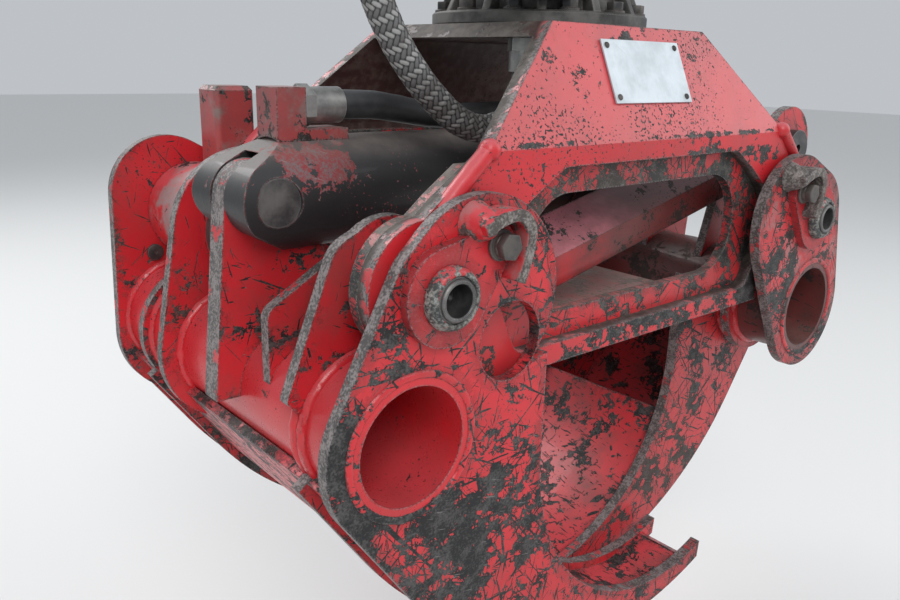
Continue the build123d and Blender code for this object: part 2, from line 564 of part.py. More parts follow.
# Black hose on the barrel, from the port block on its base to the port at its open end
start = BARREL_HOSE[0]
stem_to = start[0] - FERRULE - HEX_H
foot_top = start[2] - HEX * 0.6
stem_top = start[2] + HEX / 2
profile = Polygon(
    (stem_to - PORT_W, CYL_PIN[1]), (start[0], CYL_PIN[1]), (start[0], foot_top),
    (stem_to, foot_top), (stem_to, stem_top), (stem_to - PORT_W, stem_top), align=None,
)
block = slab(profile, CYL_Y - PORT_DEPTH / 2, CYL_Y + PORT_DEPTH / 2)
nodes["barrel_port_block"] = block - round_bar(stem_to - PORT_W - 1, start[0] + 1, BARREL_R)
nodes["barrel_hose"] = hose(BARREL_HOSE)
base_fitting = Pos(stem_to, start[1], start[2]) * Rot(0, 90, 0) * fitting(FERRULE + HEX_H)
end_fitting = Pos(port_from, hose_end[1], hose_end[2]) * Rot(0, -90, 0) * fitting(FERRULE)
nodes["barrel_hose_fittings"] = base_fitting + end_fitting

os.makedirs("parts", exist_ok=True)
for name, shape in nodes.items():
    export_step(Pos(0, 0, -HANG) * shape, f"parts/{name}.step")
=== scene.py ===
import json
import logging
import math
from dataclasses import dataclass
from enum import Enum

import bmesh
import bpy
from mathutils import Matrix, Vector, noise


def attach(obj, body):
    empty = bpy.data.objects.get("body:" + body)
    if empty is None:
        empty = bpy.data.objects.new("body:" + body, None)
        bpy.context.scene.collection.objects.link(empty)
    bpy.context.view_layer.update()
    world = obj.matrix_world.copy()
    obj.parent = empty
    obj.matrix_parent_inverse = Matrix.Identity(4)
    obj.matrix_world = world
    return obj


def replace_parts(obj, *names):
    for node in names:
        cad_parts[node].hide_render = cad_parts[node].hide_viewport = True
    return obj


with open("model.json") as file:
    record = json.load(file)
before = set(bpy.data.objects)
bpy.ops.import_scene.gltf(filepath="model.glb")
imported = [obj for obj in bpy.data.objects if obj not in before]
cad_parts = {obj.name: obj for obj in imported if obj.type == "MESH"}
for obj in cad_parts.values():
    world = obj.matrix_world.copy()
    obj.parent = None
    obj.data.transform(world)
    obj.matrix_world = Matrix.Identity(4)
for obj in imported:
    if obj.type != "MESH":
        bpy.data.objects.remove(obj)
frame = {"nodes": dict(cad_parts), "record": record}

logging.basicConfig(level=logging.INFO, format="%(message)s")
log = logging.getLogger("timber_grapple")

MM = 0.001
HANG = 560.0  # height of the hanger's bore over the arm pivots
PIVOT_X = 250.0  # pivots of the arms, left and right of the middle
TUBE = (-271.5, -102.0)  # X and Z of the left arm's cross tube
NEAR_FACE, FAR_FACE = -165.0, 225.0  # Y of the outermost plates' faces
WALL_Y, CREASE_Z, WALL_LEAN = 149.5, 87.0, 0.444  # the saddle's lower wall, its crease and its lean above that
RIM_REACH = 0.0025  # how far from an edge paint chips first, in metres

RGB = tuple[float, float, float]
DIRT: RGB = (0.13, 0.065, 0.06)
RUST: RGB = (0.085, 0.050, 0.036)
# Light grey of rims and hairlines: partly polished steel, partly painted glint.
POLISH_AND_GLINT: RGB = (0.33, 0.31, 0.30)
CUT_EDGE: tuple[RGB, RGB] = ((0.10, 0.092, 0.088), (0.31, 0.27, 0.265))
# Dark brown laid on faces that look down.
DOWN_FACING_COLOUR: RGB = (0.055, 0.040, 0.034)
# Dark brown laid on, more towards the right.
RIGHT_DARK_COLOUR: RGB = (0.050, 0.034, 0.029)
# Near-black browns laid inside the saddle.
INSIDE_DARK_COLOURS: tuple[RGB, RGB] = ((0.030, 0.025, 0.021), (0.075, 0.066, 0.055))
DUST: RGB = (0.36, 0.29, 0.25)
STROKES = (  # turn about Y, waves a metre, fineness across and offset of each set of scratches
    (0.45, 26.0, 13.0, 1.7), (-0.7, 20.0, 18.0, 4.4), (1.35, 32.0, 11.0, 8.2),
    (-1.3, 24.0, 15.0, 12.9), (0.0, 36.0, 9.0, 15.5), (0.9, 14.0, 30.0, 21.3),
)


def at(x: float, y: float, z: float) -> Vector:
    """A place of the drawing, in millimetres over the arm pivots, as a point of the frame."""
    return Vector((x * MM, y * MM, (z - HANG) * MM))


def around(count: int, radius: float, z: float, start: float = 0.0) -> list[Vector]:
    """Evenly spaced places round the upright axis.

    Args:
        count: How many.
        radius: Their distance from the axis, in millimetres.
        z: Their height over the arm pivots.
        start: Angle of the first, in radians.

    Returns:
        The places in the frame.
    """
    turns = [math.tau * k / count + start for k in range(count)]
    return [at(radius * math.cos(turn), radius * math.sin(turn), z) for turn in turns]


class Body(Enum):
    """The rigid bodies that pieces ride on."""

    ROTATOR = "rotator"
    FRAME = "frame"
    LEFT_ARM = "left_arm"
    RIGHT_ARM = "right_arm"
    LINK = "arm_link"
    BARREL = "cylinder_barrel"


class Slot(Enum):
    """The record's material slots."""

    RED_PAINT = "red_paint"
    DARK_CAST = "dark_cast"
    DARK_STEEL = "dark_steel"
    BARE_STEEL = "bare_steel"
    WORN_BLACK = "worn_black"
    CHROME_ROD = "chrome_rod"
    HOSE_RUBBER = "hose_rubber"


class Facing(Enum):
    """Directions that a turned piece can face, as turns of its own upward axis."""

    UP = (0.0, 0.0, 0.0)
    NEAR = (math.pi / 2, 0.0, 0.0)
    FAR = (-math.pi / 2, 0.0, 0.0)
    RIGHT = (0.0, math.pi / 2, 0.0)


class Sock:
    """A shader socket that takes part in Python arithmetic."""

    def __init__(self, maker: "Shader", socket: bpy.types.NodeSocket) -> None:
        """Keep the socket and the shader that makes new nodes."""
        self.maker = maker
        self.socket = socket

    def _math(self, operation: str, *values: object) -> "Sock":
        """Add a Math node.

        Args:
            operation: The Math node's operation.
            values: Its inputs, sockets or numbers.

        Returns:
            The node's result.
        """
        return self.maker.node("ShaderNodeMath", {"operation": operation}, dict(enumerate(values)))

    def __add__(self, other: object) -> "Sock":
        """Sum with a socket or number."""
        return self._math("ADD", self, other)

    __radd__ = __add__

    def __mul__(self, other: object) -> "Sock":
        """Product with a socket or number."""
        return self._math("MULTIPLY", self, other)

    __rmul__ = __mul__

    def __sub__(self, other: object) -> "Sock":
        """Difference from a socket or number."""
        return self._math("SUBTRACT", self, other)

    def __rsub__(self, other: object) -> "Sock":
        """Difference of a number from this."""
        return self._math("SUBTRACT", other, self)

    def peak(self, other: object) -> "Sock":
        """The larger of two values."""
        return self._math("MAXIMUM", self, other)

    def least(self, other: object) -> "Sock":
        """The smaller of two values."""
        return self._math("MINIMUM", self, other)

    def size(self) -> "Sock":
        """The value without its sign."""
        return self._math("ABSOLUTE", self)

    def root(self) -> "Sock":
        """The square root."""
        return self._math("SQRT", self)

    def ramp(self, low: float, high: float) -> "Sock":
        """Rise smoothly from 0 at low to 1 at high.

        Args:
            low: The value that gives 0.
            high: The value that gives 1.

        Returns:
            The eased value.
        """
        settings = {"interpolation_type": "SMOOTHSTEP"}
        return self.maker.node("ShaderNodeMapRange", settings, {0: self, 1: low, 2: high, 3: 0.0, 4: 1.0})


class Shader:
    """Builds one node material."""

    def __init__(self, name: str) -> None:
        """Start a node tree that has only its output and main shader."""
        self.material = bpy.data.materials.new(name)
        self.material.use_nodes = True
        self.tree = self.material.node_tree
        self.bsdf = self.tree.nodes["Principled BSDF"]
        self._object = None

    def node(self, kind: str, settings: dict, inputs: dict, output: object = 0) -> Sock:
        """Add a node, with its settings first and then its inputs.

        Args:
            kind: The node's type.
            settings: Attributes to set before anything is linked.
            inputs: Socket names or numbers with values or links.
            output: Which output to give back.

        Returns:
            The chosen output.
        """
        made = self.tree.nodes.new(kind)
        for key, value in settings.items():
            setattr(made, key, value)
        for key, value in inputs.items():
            self.feed(made.inputs[key], value)
        return Sock(self, made.outputs[output])

    def feed(self, socket: bpy.types.NodeSocket, value: object) -> None:
        """Link or set one input socket.

        Args:
            socket: The input.
            value: A Sock to link, or a plain value.
        """
        if isinstance(value, Sock):
            self.tree.links.new(value.socket, socket)
        else:
            socket.default_value = value

    def place(self) -> Sock:
        """The object's own coordinates, in metres."""
        if self._object is None:
            self._object = self.node("ShaderNodeTexCoord", {}, {}, "Object")
        return self._object

    def axes(self) -> tuple[Sock, Sock, Sock]:
        """The three object coordinates, as numbers."""
        return tuple(self.node("ShaderNodeSeparateXYZ", {}, {0: self.place()}, axis) for axis in "XYZ")

    def islands(self, scale: float, shift: float) -> Sock:
        """A net of cracks between angular islands of a few millimetres.

        Args:
            scale: Islands a metre.
            shift: Offset that makes each use differ.

        Returns:
            1 in a crack and 0 on an island.
        """
        inputs = {"Vector": self.place(), "Scale": scale * 1.4, "Detail": 4.0, "Roughness": 0.65}
        wobble = self.node("ShaderNodeTexNoise", {}, inputs, "Color")
        inputs = {0: wobble, 1: (0.02, 0.02, 0.02), 2: self.place()}
        place = self.node("ShaderNodeVectorMath", {"operation": "MULTIPLY_ADD"}, inputs, "Vector")
        place = self.node("ShaderNodeMapping", {}, {"Vector": place, "Location": (shift, shift, shift)})
        inputs = {"Vector": place, "Scale": scale}
        away = self.node("ShaderNodeTexVoronoi", {"feature": "DISTANCE_TO_EDGE"}, inputs, "Distance")
        return 1.0 - away.ramp(0.0, 0.24)

    def normal(self) -> tuple[Sock, Sock, Sock]:
        """The piece's own surface normal, as three numbers."""
        facing = self.node("ShaderNodeTexCoord", {}, {}, "Normal")
        return tuple(self.node("ShaderNodeSeparateXYZ", {}, {0: facing}, axis) for axis in "XYZ")

    def attribute(self, name: str) -> Sock:
        """A number kept on the mesh."""
        return self.node("ShaderNodeAttribute", {"attribute_name": name}, {}, "Fac")

    def noise(self, scale: float, detail: float = 4.0, rough: float = 0.55, shift: float = 0.0) -> Sock:
        """A noise pattern fixed to the piece.

        Args:
            scale: Waves a metre.
            detail: Octaves.
            rough: How strong the fine octaves are.
            shift: Offset that makes each use differ.

        Returns:
            The noise, around 0.5.
        """
        place = self.node("ShaderNodeMapping", {}, {"Vector": self.place(), "Location": (shift, shift * 0.7, -shift)})
        inputs = {"Vector": place, "Scale": scale, "Detail": detail, "Roughness": rough}
        return self.node("ShaderNodeTexNoise", {}, inputs)

    def streaks(self, turn: float, scale: float, across: float, shift: float) -> Sock:
        """Noise drawn out into lines in the plane of the side plates.

        Args:
            turn: Direction of the lines about Y, in radians.
            scale: Waves a metre along a line.
            across: How many times finer the pattern is across the lines.
            shift: Offset that makes each use differ.

        Returns:
            The noise, around 0.5.
        """
        place = self.node("ShaderNodeMapping", {"vector_type": "TEXTURE"}, {
            "Vector": self.place(), "Location": (shift, shift, shift), "Rotation": (0.15, turn, 0.0),
            "Scale": (1.0, 0.5, 1.0 / across),
        })
        return self.node("ShaderNodeTexNoise", {}, {"Vector": place, "Scale": scale, "Detail": 2.0})

    def edges(self, radius: float, samples: int = 3) -> Sock:
        """How near the surface is to an edge, from the rounded normal.

        Args:
            radius: The reach in metres.
            samples: Rays a pixel.

        Returns:
            0 on flat ground, more at an edge.
        """
        rounded = self.node("ShaderNodeBevel", {"samples": samples}, {"Radius": radius})
        normal = self.node("ShaderNodeNewGeometry", {}, {}, "Normal")
        dot = self.node("ShaderNodeVectorMath", {"operation": "DOT_PRODUCT"}, {0: rounded, 1: normal}, "Value")
        return 1.0 - dot

    def mix(self, factor: object, first: object, second: object) -> Sock:
        """Mix two colours.

        Args:
            factor: Share of the second.
            first: A colour or Sock.
            second: A colour or Sock.

        Returns:
            The mixed colour.
        """
        inputs = {0: factor}
        for key, value in ((6, first), (7, second)):
            inputs[key] = value if isinstance(value, Sock) else (*value, 1.0)
        return self.node("ShaderNodeMix", {"data_type": "RGBA"}, inputs, 2)

    def bump(self, height: Sock, strength: float, distance: float, round_off: float = 0.0012) -> None:
        """Feed a bump to the shader's normal, over edges that look slightly rounded.

        Args:
            height: The height pattern.
            strength: How strong it shows.
            distance: Its depth in metres.
            round_off: How round the edges look, in metres.
        """
        rounded = self.node("ShaderNodeBevel", {"samples": 2}, {"Radius": round_off})
        inputs = {"Strength": strength, "Distance": distance, "Height": height, "Normal": rounded}
        self.feed(self.bsdf.inputs["Normal"], self.node("ShaderNodeBump", {}, inputs))

    def set(self, **values: object) -> None:
        """Feed the main shader's sockets, named with underscores for spaces."""
        for key, value in values.items():
            name = key.replace("_", " ")
            if isinstance(value, tuple) and len(value) == 3:
                value = (*value, 1.0)
            self.feed(self.bsdf.inputs[name], value)


@dataclass(frozen=True)
class Spot:
    """A round area of the side view where more paint has gone, or less if amount is negative."""

    x: float
    z: float
    radius: float
    amount: float


@dataclass(frozen=True)
class Strip:
    """A level stretch of the walls where more paint has gone."""

    low: float
    high: float
    amount: float


@dataclass(frozen=True)
class WornPaint:
    """Paint over steel: chipped at random, more at edges and in marked areas, scratched, and paler on top, partly sun
    fading and partly painted skylight.

    Amounts run from 0 to about 1, whole marks an area whose cut edges stay painted, and the darkening towards the right
    starts and is complete at the two X values given, in millimetres.
    """

    name: str
    colour: RGB = (0.60, 0.020, 0.028)
    wear: float = 0.12
    edge: float = 0.9
    band: float = 0.0
    scratches: float = 0.0
    # How much paler the paint turns on top: partly sun fading, partly painted skylight.
    top_fade_and_skylight: float = 0.55
    scuffed: float = 0.0
    sides: float = 0.0
    dust: float = 0.0
    specks: float = 0.3
    specks_above: float = 0.0
    grime: float = 0.35
    down_facing_dark: float = 0.0
    inside_dark: float = 0.0
    right_darkening: tuple[float, float] = (0.0, 0.0)
    whole: Spot | None = None
    fronts: float = 0.0
    gloss: float = 0.38
    under: tuple[RGB, RGB] = ((0.015, 0.0155, 0.0165), (0.092, 0.087, 0.084))
    top_fade_and_skylight_colour: RGB = (0.62, 0.11, 0.125)
    scuff_colour: RGB = (0.27, 0.20, 0.19)
    spots: tuple[Spot, ...] = ()
    strips: tuple[Strip, ...] = ()
    seed: float = 0.0

    @staticmethod
    def reach(s: Shader, spot: Spot) -> Sock:
        """How far a point is from a spot's centre in the side view, in metres."""
        x, _, z = s.axes()
        away_x, away_z = x - spot.x * MM, z - (spot.z - HANG) * MM
        return (away_x * away_x + away_z * away_z).root()

    def level(self, s: Shader, rim: Sock) -> Sock:
        """How much of the paint is gone at a point, from 0 to about 1.

        Args:
            s: The material's shader.
            rim: How near the surface is to an edge.

        Returns:
            The level, with marked areas and edges worked in.
        """
        level = s.noise(5.0, 2.0, 0.5, shift=self.seed + 7.7) * 0.5 + (self.wear - 0.25)
        _, _, z = s.axes()
        for spot in self.spots:
            reach = self.reach(s, spot)
            level = level + (1.0 - reach.ramp(spot.radius * 0.4 * MM, spot.radius * MM)) * spot.amount
        for strip in self.strips:
            low, high = (strip.low - HANG) * MM, (strip.high - HANG) * MM
            inside = z.ramp(low - 0.002, low + 0.002) * (1.0 - z.ramp(high - 0.002, high + 0.002))
            level = level + inside * strip.amount
        level = level + rim * (self.edge * 3.0)
        if self.band:
            level = level + s.edges(0.018, 2).least(0.1) * (self.band * 7.0)
        return level

    def strokes(self, s: Shader, level: Sock) -> Sock:
        """Short scratches in several directions, closer together where more paint is gone.

        Args:
            s: The material's shader.
            level: How much of the paint is gone.

        Returns:
            1 in a scratch and 0 beside it.
        """
        strokes = None
        for turn, scale, across, shift in STROKES:
            line = s.streaks(turn, scale, across, self.seed + shift)
            stroke = (line + level * (0.16 * self.scratches)).ramp(0.705, 0.72)
            strokes = stroke if strokes is None else strokes.peak(stroke)
        return strokes

    def paint(self, s: Shader, hue: Sock, n_z: Sock) -> Sock:
        """The paint's colour, uneven, paler on top as sun fading and painted skylight, scuffed and dirty.

        Args:
            s: The material's shader.
            hue: A broad noise.
            n_z: How far the surface looks up.

        Returns:
            The colour.
        """
        paint = s.mix(hue.ramp(0.35, 0.7) * 0.5, self.colour, tuple(c * 0.66 for c in self.colour))
        # Up-facing surfaces turn paler: partly sun fading, partly a painted skylight highlight.
        top = n_z.ramp(0.1, 0.95) * (hue * 0.7 + 0.5)
        paint = s.mix((top * self.top_fade_and_skylight).least(0.95), paint, self.top_fade_and_skylight_colour)
        if self.scuffed:
            rub = s.noise(22.0, 5.0, 0.7, shift=self.seed + 14.0).ramp(0.46, 0.62) * self.scuffed
            paint = s.mix(rub, paint, self.scuff_colour)
        if self.grime:
            smear = s.noise(9.0, 6.0, 0.7, shift=self.seed + 23.0).ramp(0.42, 0.72) * self.grime
            paint = s.mix(smear, paint, DIRT)
        return paint

    def steel(self, s: Shader, hue: Sock, fine: Sock, grit: Sock, rim: Sock) -> Sock:
        """The bare metal under the paint, with a little rust, and lighter rims and hairlines, partly polished steel and
        partly painted glints.

        Args:
            s: The material's shader.
            hue: A broad noise.
            fine: A noise of a few millimetres.
            grit: A noise of tenths of a millimetre.
            rim: How near the surface is to an edge.

        Returns:
            The colour.
        """
        steel = s.mix((fine * 0.6 + grit * 0.4).ramp(0.42, 0.66), *self.under)
        steel = s.mix(hue.ramp(0.5, 0.72) * 0.55, steel, RUST)
        # Rims and hairline scratches turn light grey: partly polished steel, partly painted glints.
        hair = s.streaks(0.25, 60.0, 20.0, self.seed + 40.0).ramp(0.70, 0.72)
        polish_and_glint = (rim.ramp(0.12, 0.3) * grit.ramp(0.4, 0.6) * 0.8).peak(hair * 0.6)
        return s.mix(polish_and_glint, steel, POLISH_AND_GLINT)

    def specked(self, s: Shader) -> Sock:
        """Pits of about a millimetre, gathered in patches, on their own stretch of the wall if it has one."""
        gate = s.noise(9.0, 3.0, 0.5, shift=self.seed + 31.0).ramp(0.44, 0.66)
        dots = s.noise(400.0, 2.0, 0.5, shift=self.seed + 33.0)
        if self.specks_above:
            _, _, z = s.axes()
            start = (self.specks_above - HANG) * MM
            dots = dots + (z.ramp(start - 0.004, start + 0.003) - 1.0) * 0.06
        limit = 0.72 - 0.08 * self.specks
        return (dots + (gate - 0.6) * 0.12).ramp(limit, limit + 0.02)

    def soiled(self, s: Shader, colour: Sock, chips: Sock, fine: Sock, hue: Sock, n_z: Sock) -> Sock:
        """The colour darker on faces that look down, darker towards the right, darker inside the saddle, and with dust
        on top.

        Args:
            s: The material's shader.
            colour: Paint and bare metal.
            chips: A noise of a few centimetres.
            fine: A noise of a few millimetres.
            hue: A broad noise.
            n_z: How far the surface looks up.

        Returns:
            The soiled colour.
        """
        # Darker on faces that look down.
        if self.down_facing_dark:
            low = (n_z * (-1.0) + (chips - 0.5) * 1.2).ramp(-0.05, 0.35) * self.down_facing_dark
            colour = s.mix(low, colour, DOWN_FACING_COLOUR)
        x, y, z = s.axes()
        # Darker towards the right, between the two X values.
        if self.right_darkening[1] > self.right_darkening[0]:
            right_dark = (x + (chips - 0.5) * 0.14 - n_z * 0.03).ramp(self.right_darkening[0] * MM, self.right_darkening[1] * MM)
            colour = s.mix((right_dark * (hue * 0.5 + 0.55)).least(0.93), colour, RIGHT_DARK_COLOUR)
        # Darker inside the saddle, within its walls.
        if self.inside_dark:
            wall = WALL_Y * MM - (z - (CREASE_Z - HANG) * MM).peak(0.0) * WALL_LEAN
            deep = (wall - y.size() + (chips - 0.5) * 0.02).ramp(0.003, 0.009)
            deep = deep * (chips * 0.6 + hue * 0.6 + 0.1).ramp(0.36, 0.56) * self.inside_dark
            colour = s.mix(deep, colour, s.mix(fine.ramp(0.4, 0.65), *INSIDE_DARK_COLOURS))
        if self.dust:
            lies = n_z.ramp(0.5, 0.95) * (fine * 0.9 + chips * 0.7 - 0.2) * self.dust
            colour = s.mix(lies.least(1.0), colour, DUST)
        return colour

    def build(self) -> bpy.types.Material:
        """Make the material."""
        s = Shader(self.name)
        chips = s.noise(30.0, 6.0, 0.66, shift=self.seed)
        fine = s.noise(95.0, 4.0, 0.61, shift=self.seed + 3.1)
        grit = s.noise(520.0, 1.0, 0.6, shift=self.seed + 5.7)
        hue = s.noise(6.0, 3.0, 0.6, shift=self.seed + 9.0)
        rim = s.edges(RIM_REACH)
        level = self.level(s, rim)
        crack = s.islands(85.0, self.seed)
        bare = (chips + (level - 0.5) * 0.40 + (fine - 0.5) * 0.24 + (crack - 0.45) * 0.09).ramp(0.498, 0.511)
        if self.scratches:
            bare = bare.peak(self.strokes(s, level))
        if self.specks:
            bare = bare.peak(self.specked(s))
        _, n_y, n_z = s.normal()
        paint = self.paint(s, hue, n_z)
        steel = self.steel(s, hue, fine, grit, rim)
        if self.sides:
            flank = (1.0 - n_y.size().ramp(0.3, 0.6)) * self.sides
            if self.whole:
                radius = self.whole.radius * MM
                flank = flank * self.reach(s, self.whole).ramp(radius * 0.9, radius)
            bare = bare.peak((chips * 0.6 + fine * 0.4 + flank * 0.20).ramp(0.60, 0.63))
            steel = s.mix(flank * 0.9, steel, s.mix((fine * 0.5 + grit * 0.5).ramp(0.42, 0.6), *CUT_EDGE))
        if self.fronts:
            bare = bare.peak((n_y.size().ramp(0.55, 0.95) * self.fronts + (chips - 0.5)).ramp(0.45, 0.47))
        colour = s.mix(bare, paint, steel)
        s.set(
            Base_Color=self.soiled(s, colour, chips, fine, hue, n_z),
            Roughness=bare * 0.20 + grit * 0.14 + fine * 0.14 + (self.gloss - 0.12),
            Metallic=bare * 0.25,
            Coat_Weight=(1.0 - bare) * 0.10,
        )
        s.bump((1.0 - bare) * 0.8 + grit * 0.12 + fine * 0.3, 0.5, 0.0008)
        return s.material


@dataclass(frozen=True)
class Steel:
    """Bare or blackened steel with grease and fine wear."""

    name: str
    dark: RGB
    light: RGB
    rough: float = 0.45
    metal: float = 0.8
    pits: float = 0.4
    seed: float = 0.0

    def build(self) -> bpy.types.Material:
        """Make the material."""
        s = Shader(self.name)
        broad = s.noise(30.0, 6.0, 0.62, shift=self.seed)
        grit = s.noise(450.0, 4.0, 0.6, shift=self.seed + 2.0)
        edge = (s.edges(0.0018) * 5.0 + grit * 0.4).ramp(0.35, 0.7)
        tone = (broad.ramp(0.38, 0.66) * 0.7).peak(edge)
        s.set(
            Base_Color=s.mix(tone, self.dark, self.light),
            Roughness=grit * 0.25 + broad * 0.2 + (self.rough - 0.22),
            Metallic=self.metal,
        )
        s.bump(grit * 0.5 + broad * 0.5, self.pits, 0.0005)
        return s.material


@dataclass(frozen=True)
class Braid:
    """Textile sleeve of a hose, whose strands are kept on the mesh as numbers."""

    name: str = "braided_sleeve"
    low: RGB = (0.012, 0.012, 0.013)
    # Strands of one way are painted lighter than those of the other way, as a painted sheen.
    sheen_way: RGB = (0.30, 0.30, 0.29)
    dull_way: RGB = (0.12, 0.12, 0.12)
    worn: RGB = (0.085, 0.075, 0.068)

    def build(self) -> bpy.types.Material:
        """Make the material."""
        s = Shader(self.name)
        height, way = s.attribute("height"), s.attribute("way")
        fibre = s.noise(1400.0, 3.0, 0.6)
        dirt = s.noise(28.0, 5.0, 0.65, shift=4.0).ramp(0.42, 0.62)
        # Painted sheen: the strand's way picks the lighter or the darker grey.
        strand = s.mix(way, self.sheen_way, self.dull_way)
        strand = s.mix(dirt * 0.75, strand, self.worn)
        s.set(
            Base_Color=s.mix((height * 1.1 + fibre * 0.5 - 0.3).ramp(0.1, 0.75), self.low, strand),
            Roughness=fibre * 0.2 + 0.42,
        )
        s.bump(fibre, 0.3, 0.0003, 0.0004)
        return s.material


@dataclass(frozen=True)
class Rubber:
    """Black hose rubber with fine cracks, dust and rubbed patches."""

    name: str = "hose_rubber"
    colour: RGB = (0.022, 0.023, 0.025)
    dusty: RGB = (0.10, 0.10, 0.105)

    def build(self) -> bpy.types.Material:
        """Make the material."""
        s = Shader(self.name)
        broad = s.noise(24.0, 6.0, 0.65, shift=2.0)
        grain = s.noise(900.0, 3.0, 0.6, shift=6.0)
        _, _, n_z = s.normal()
        dust = (n_z.ramp(-0.1, 1.0) * 0.6 + broad.ramp(0.45, 0.65) * 0.35) * (grain * 0.6 + 0.5)
        s.set(Base_Color=s.mix(dust.least(1.0), self.colour, self.dusty), Roughness=grain * 0.25 + broad * 0.15 + 0.32)
        s.bump(grain * 0.6 + broad * 0.4, 0.35, 0.0004, 0.0006)
        return s.material


@dataclass(frozen=True)
class Plate:
    """Thin blank aluminium, dulled and finely scratched."""

    name: str = "dull_aluminium"
    colour: RGB = (0.60, 0.66, 0.70)
    grey: RGB = (0.42, 0.46, 0.49)

    def build(self) -> bpy.types.Material:
        """Make the material."""
        s = Shader(self.name)
        cloud = s.noise(40.0, 6.0, 0.65)
        brushed = s.streaks(1.57, 40.0, 24.0, 3.0)
        nick = s.streaks(0.6, 30.0, 30.0, 9.0).ramp(0.72, 0.74)
        tone = (cloud.ramp(0.35, 0.7) * 0.6 + brushed * 0.3).peak(nick)
        s.set(Base_Color=s.mix(tone.least(1.0), self.colour, self.grey), Roughness=cloud * 0.2 + 0.34, Metallic=0.35)
        s.bump(brushed * 0.5 + cloud * 0.3, 0.15, 0.0002, 0.0004)
        return s.material


@dataclass(frozen=True)
class Ground:
    """The pale studio floor."""

    name: str = "pale_floor"
    colour: RGB = (0.78, 0.78, 0.77)

    def build(self) -> bpy.types.Material:
        """Make the material."""
        s = Shader(self.name)
        s.set(Base_Color=self.colour, Roughness=0.85)
        return s.material


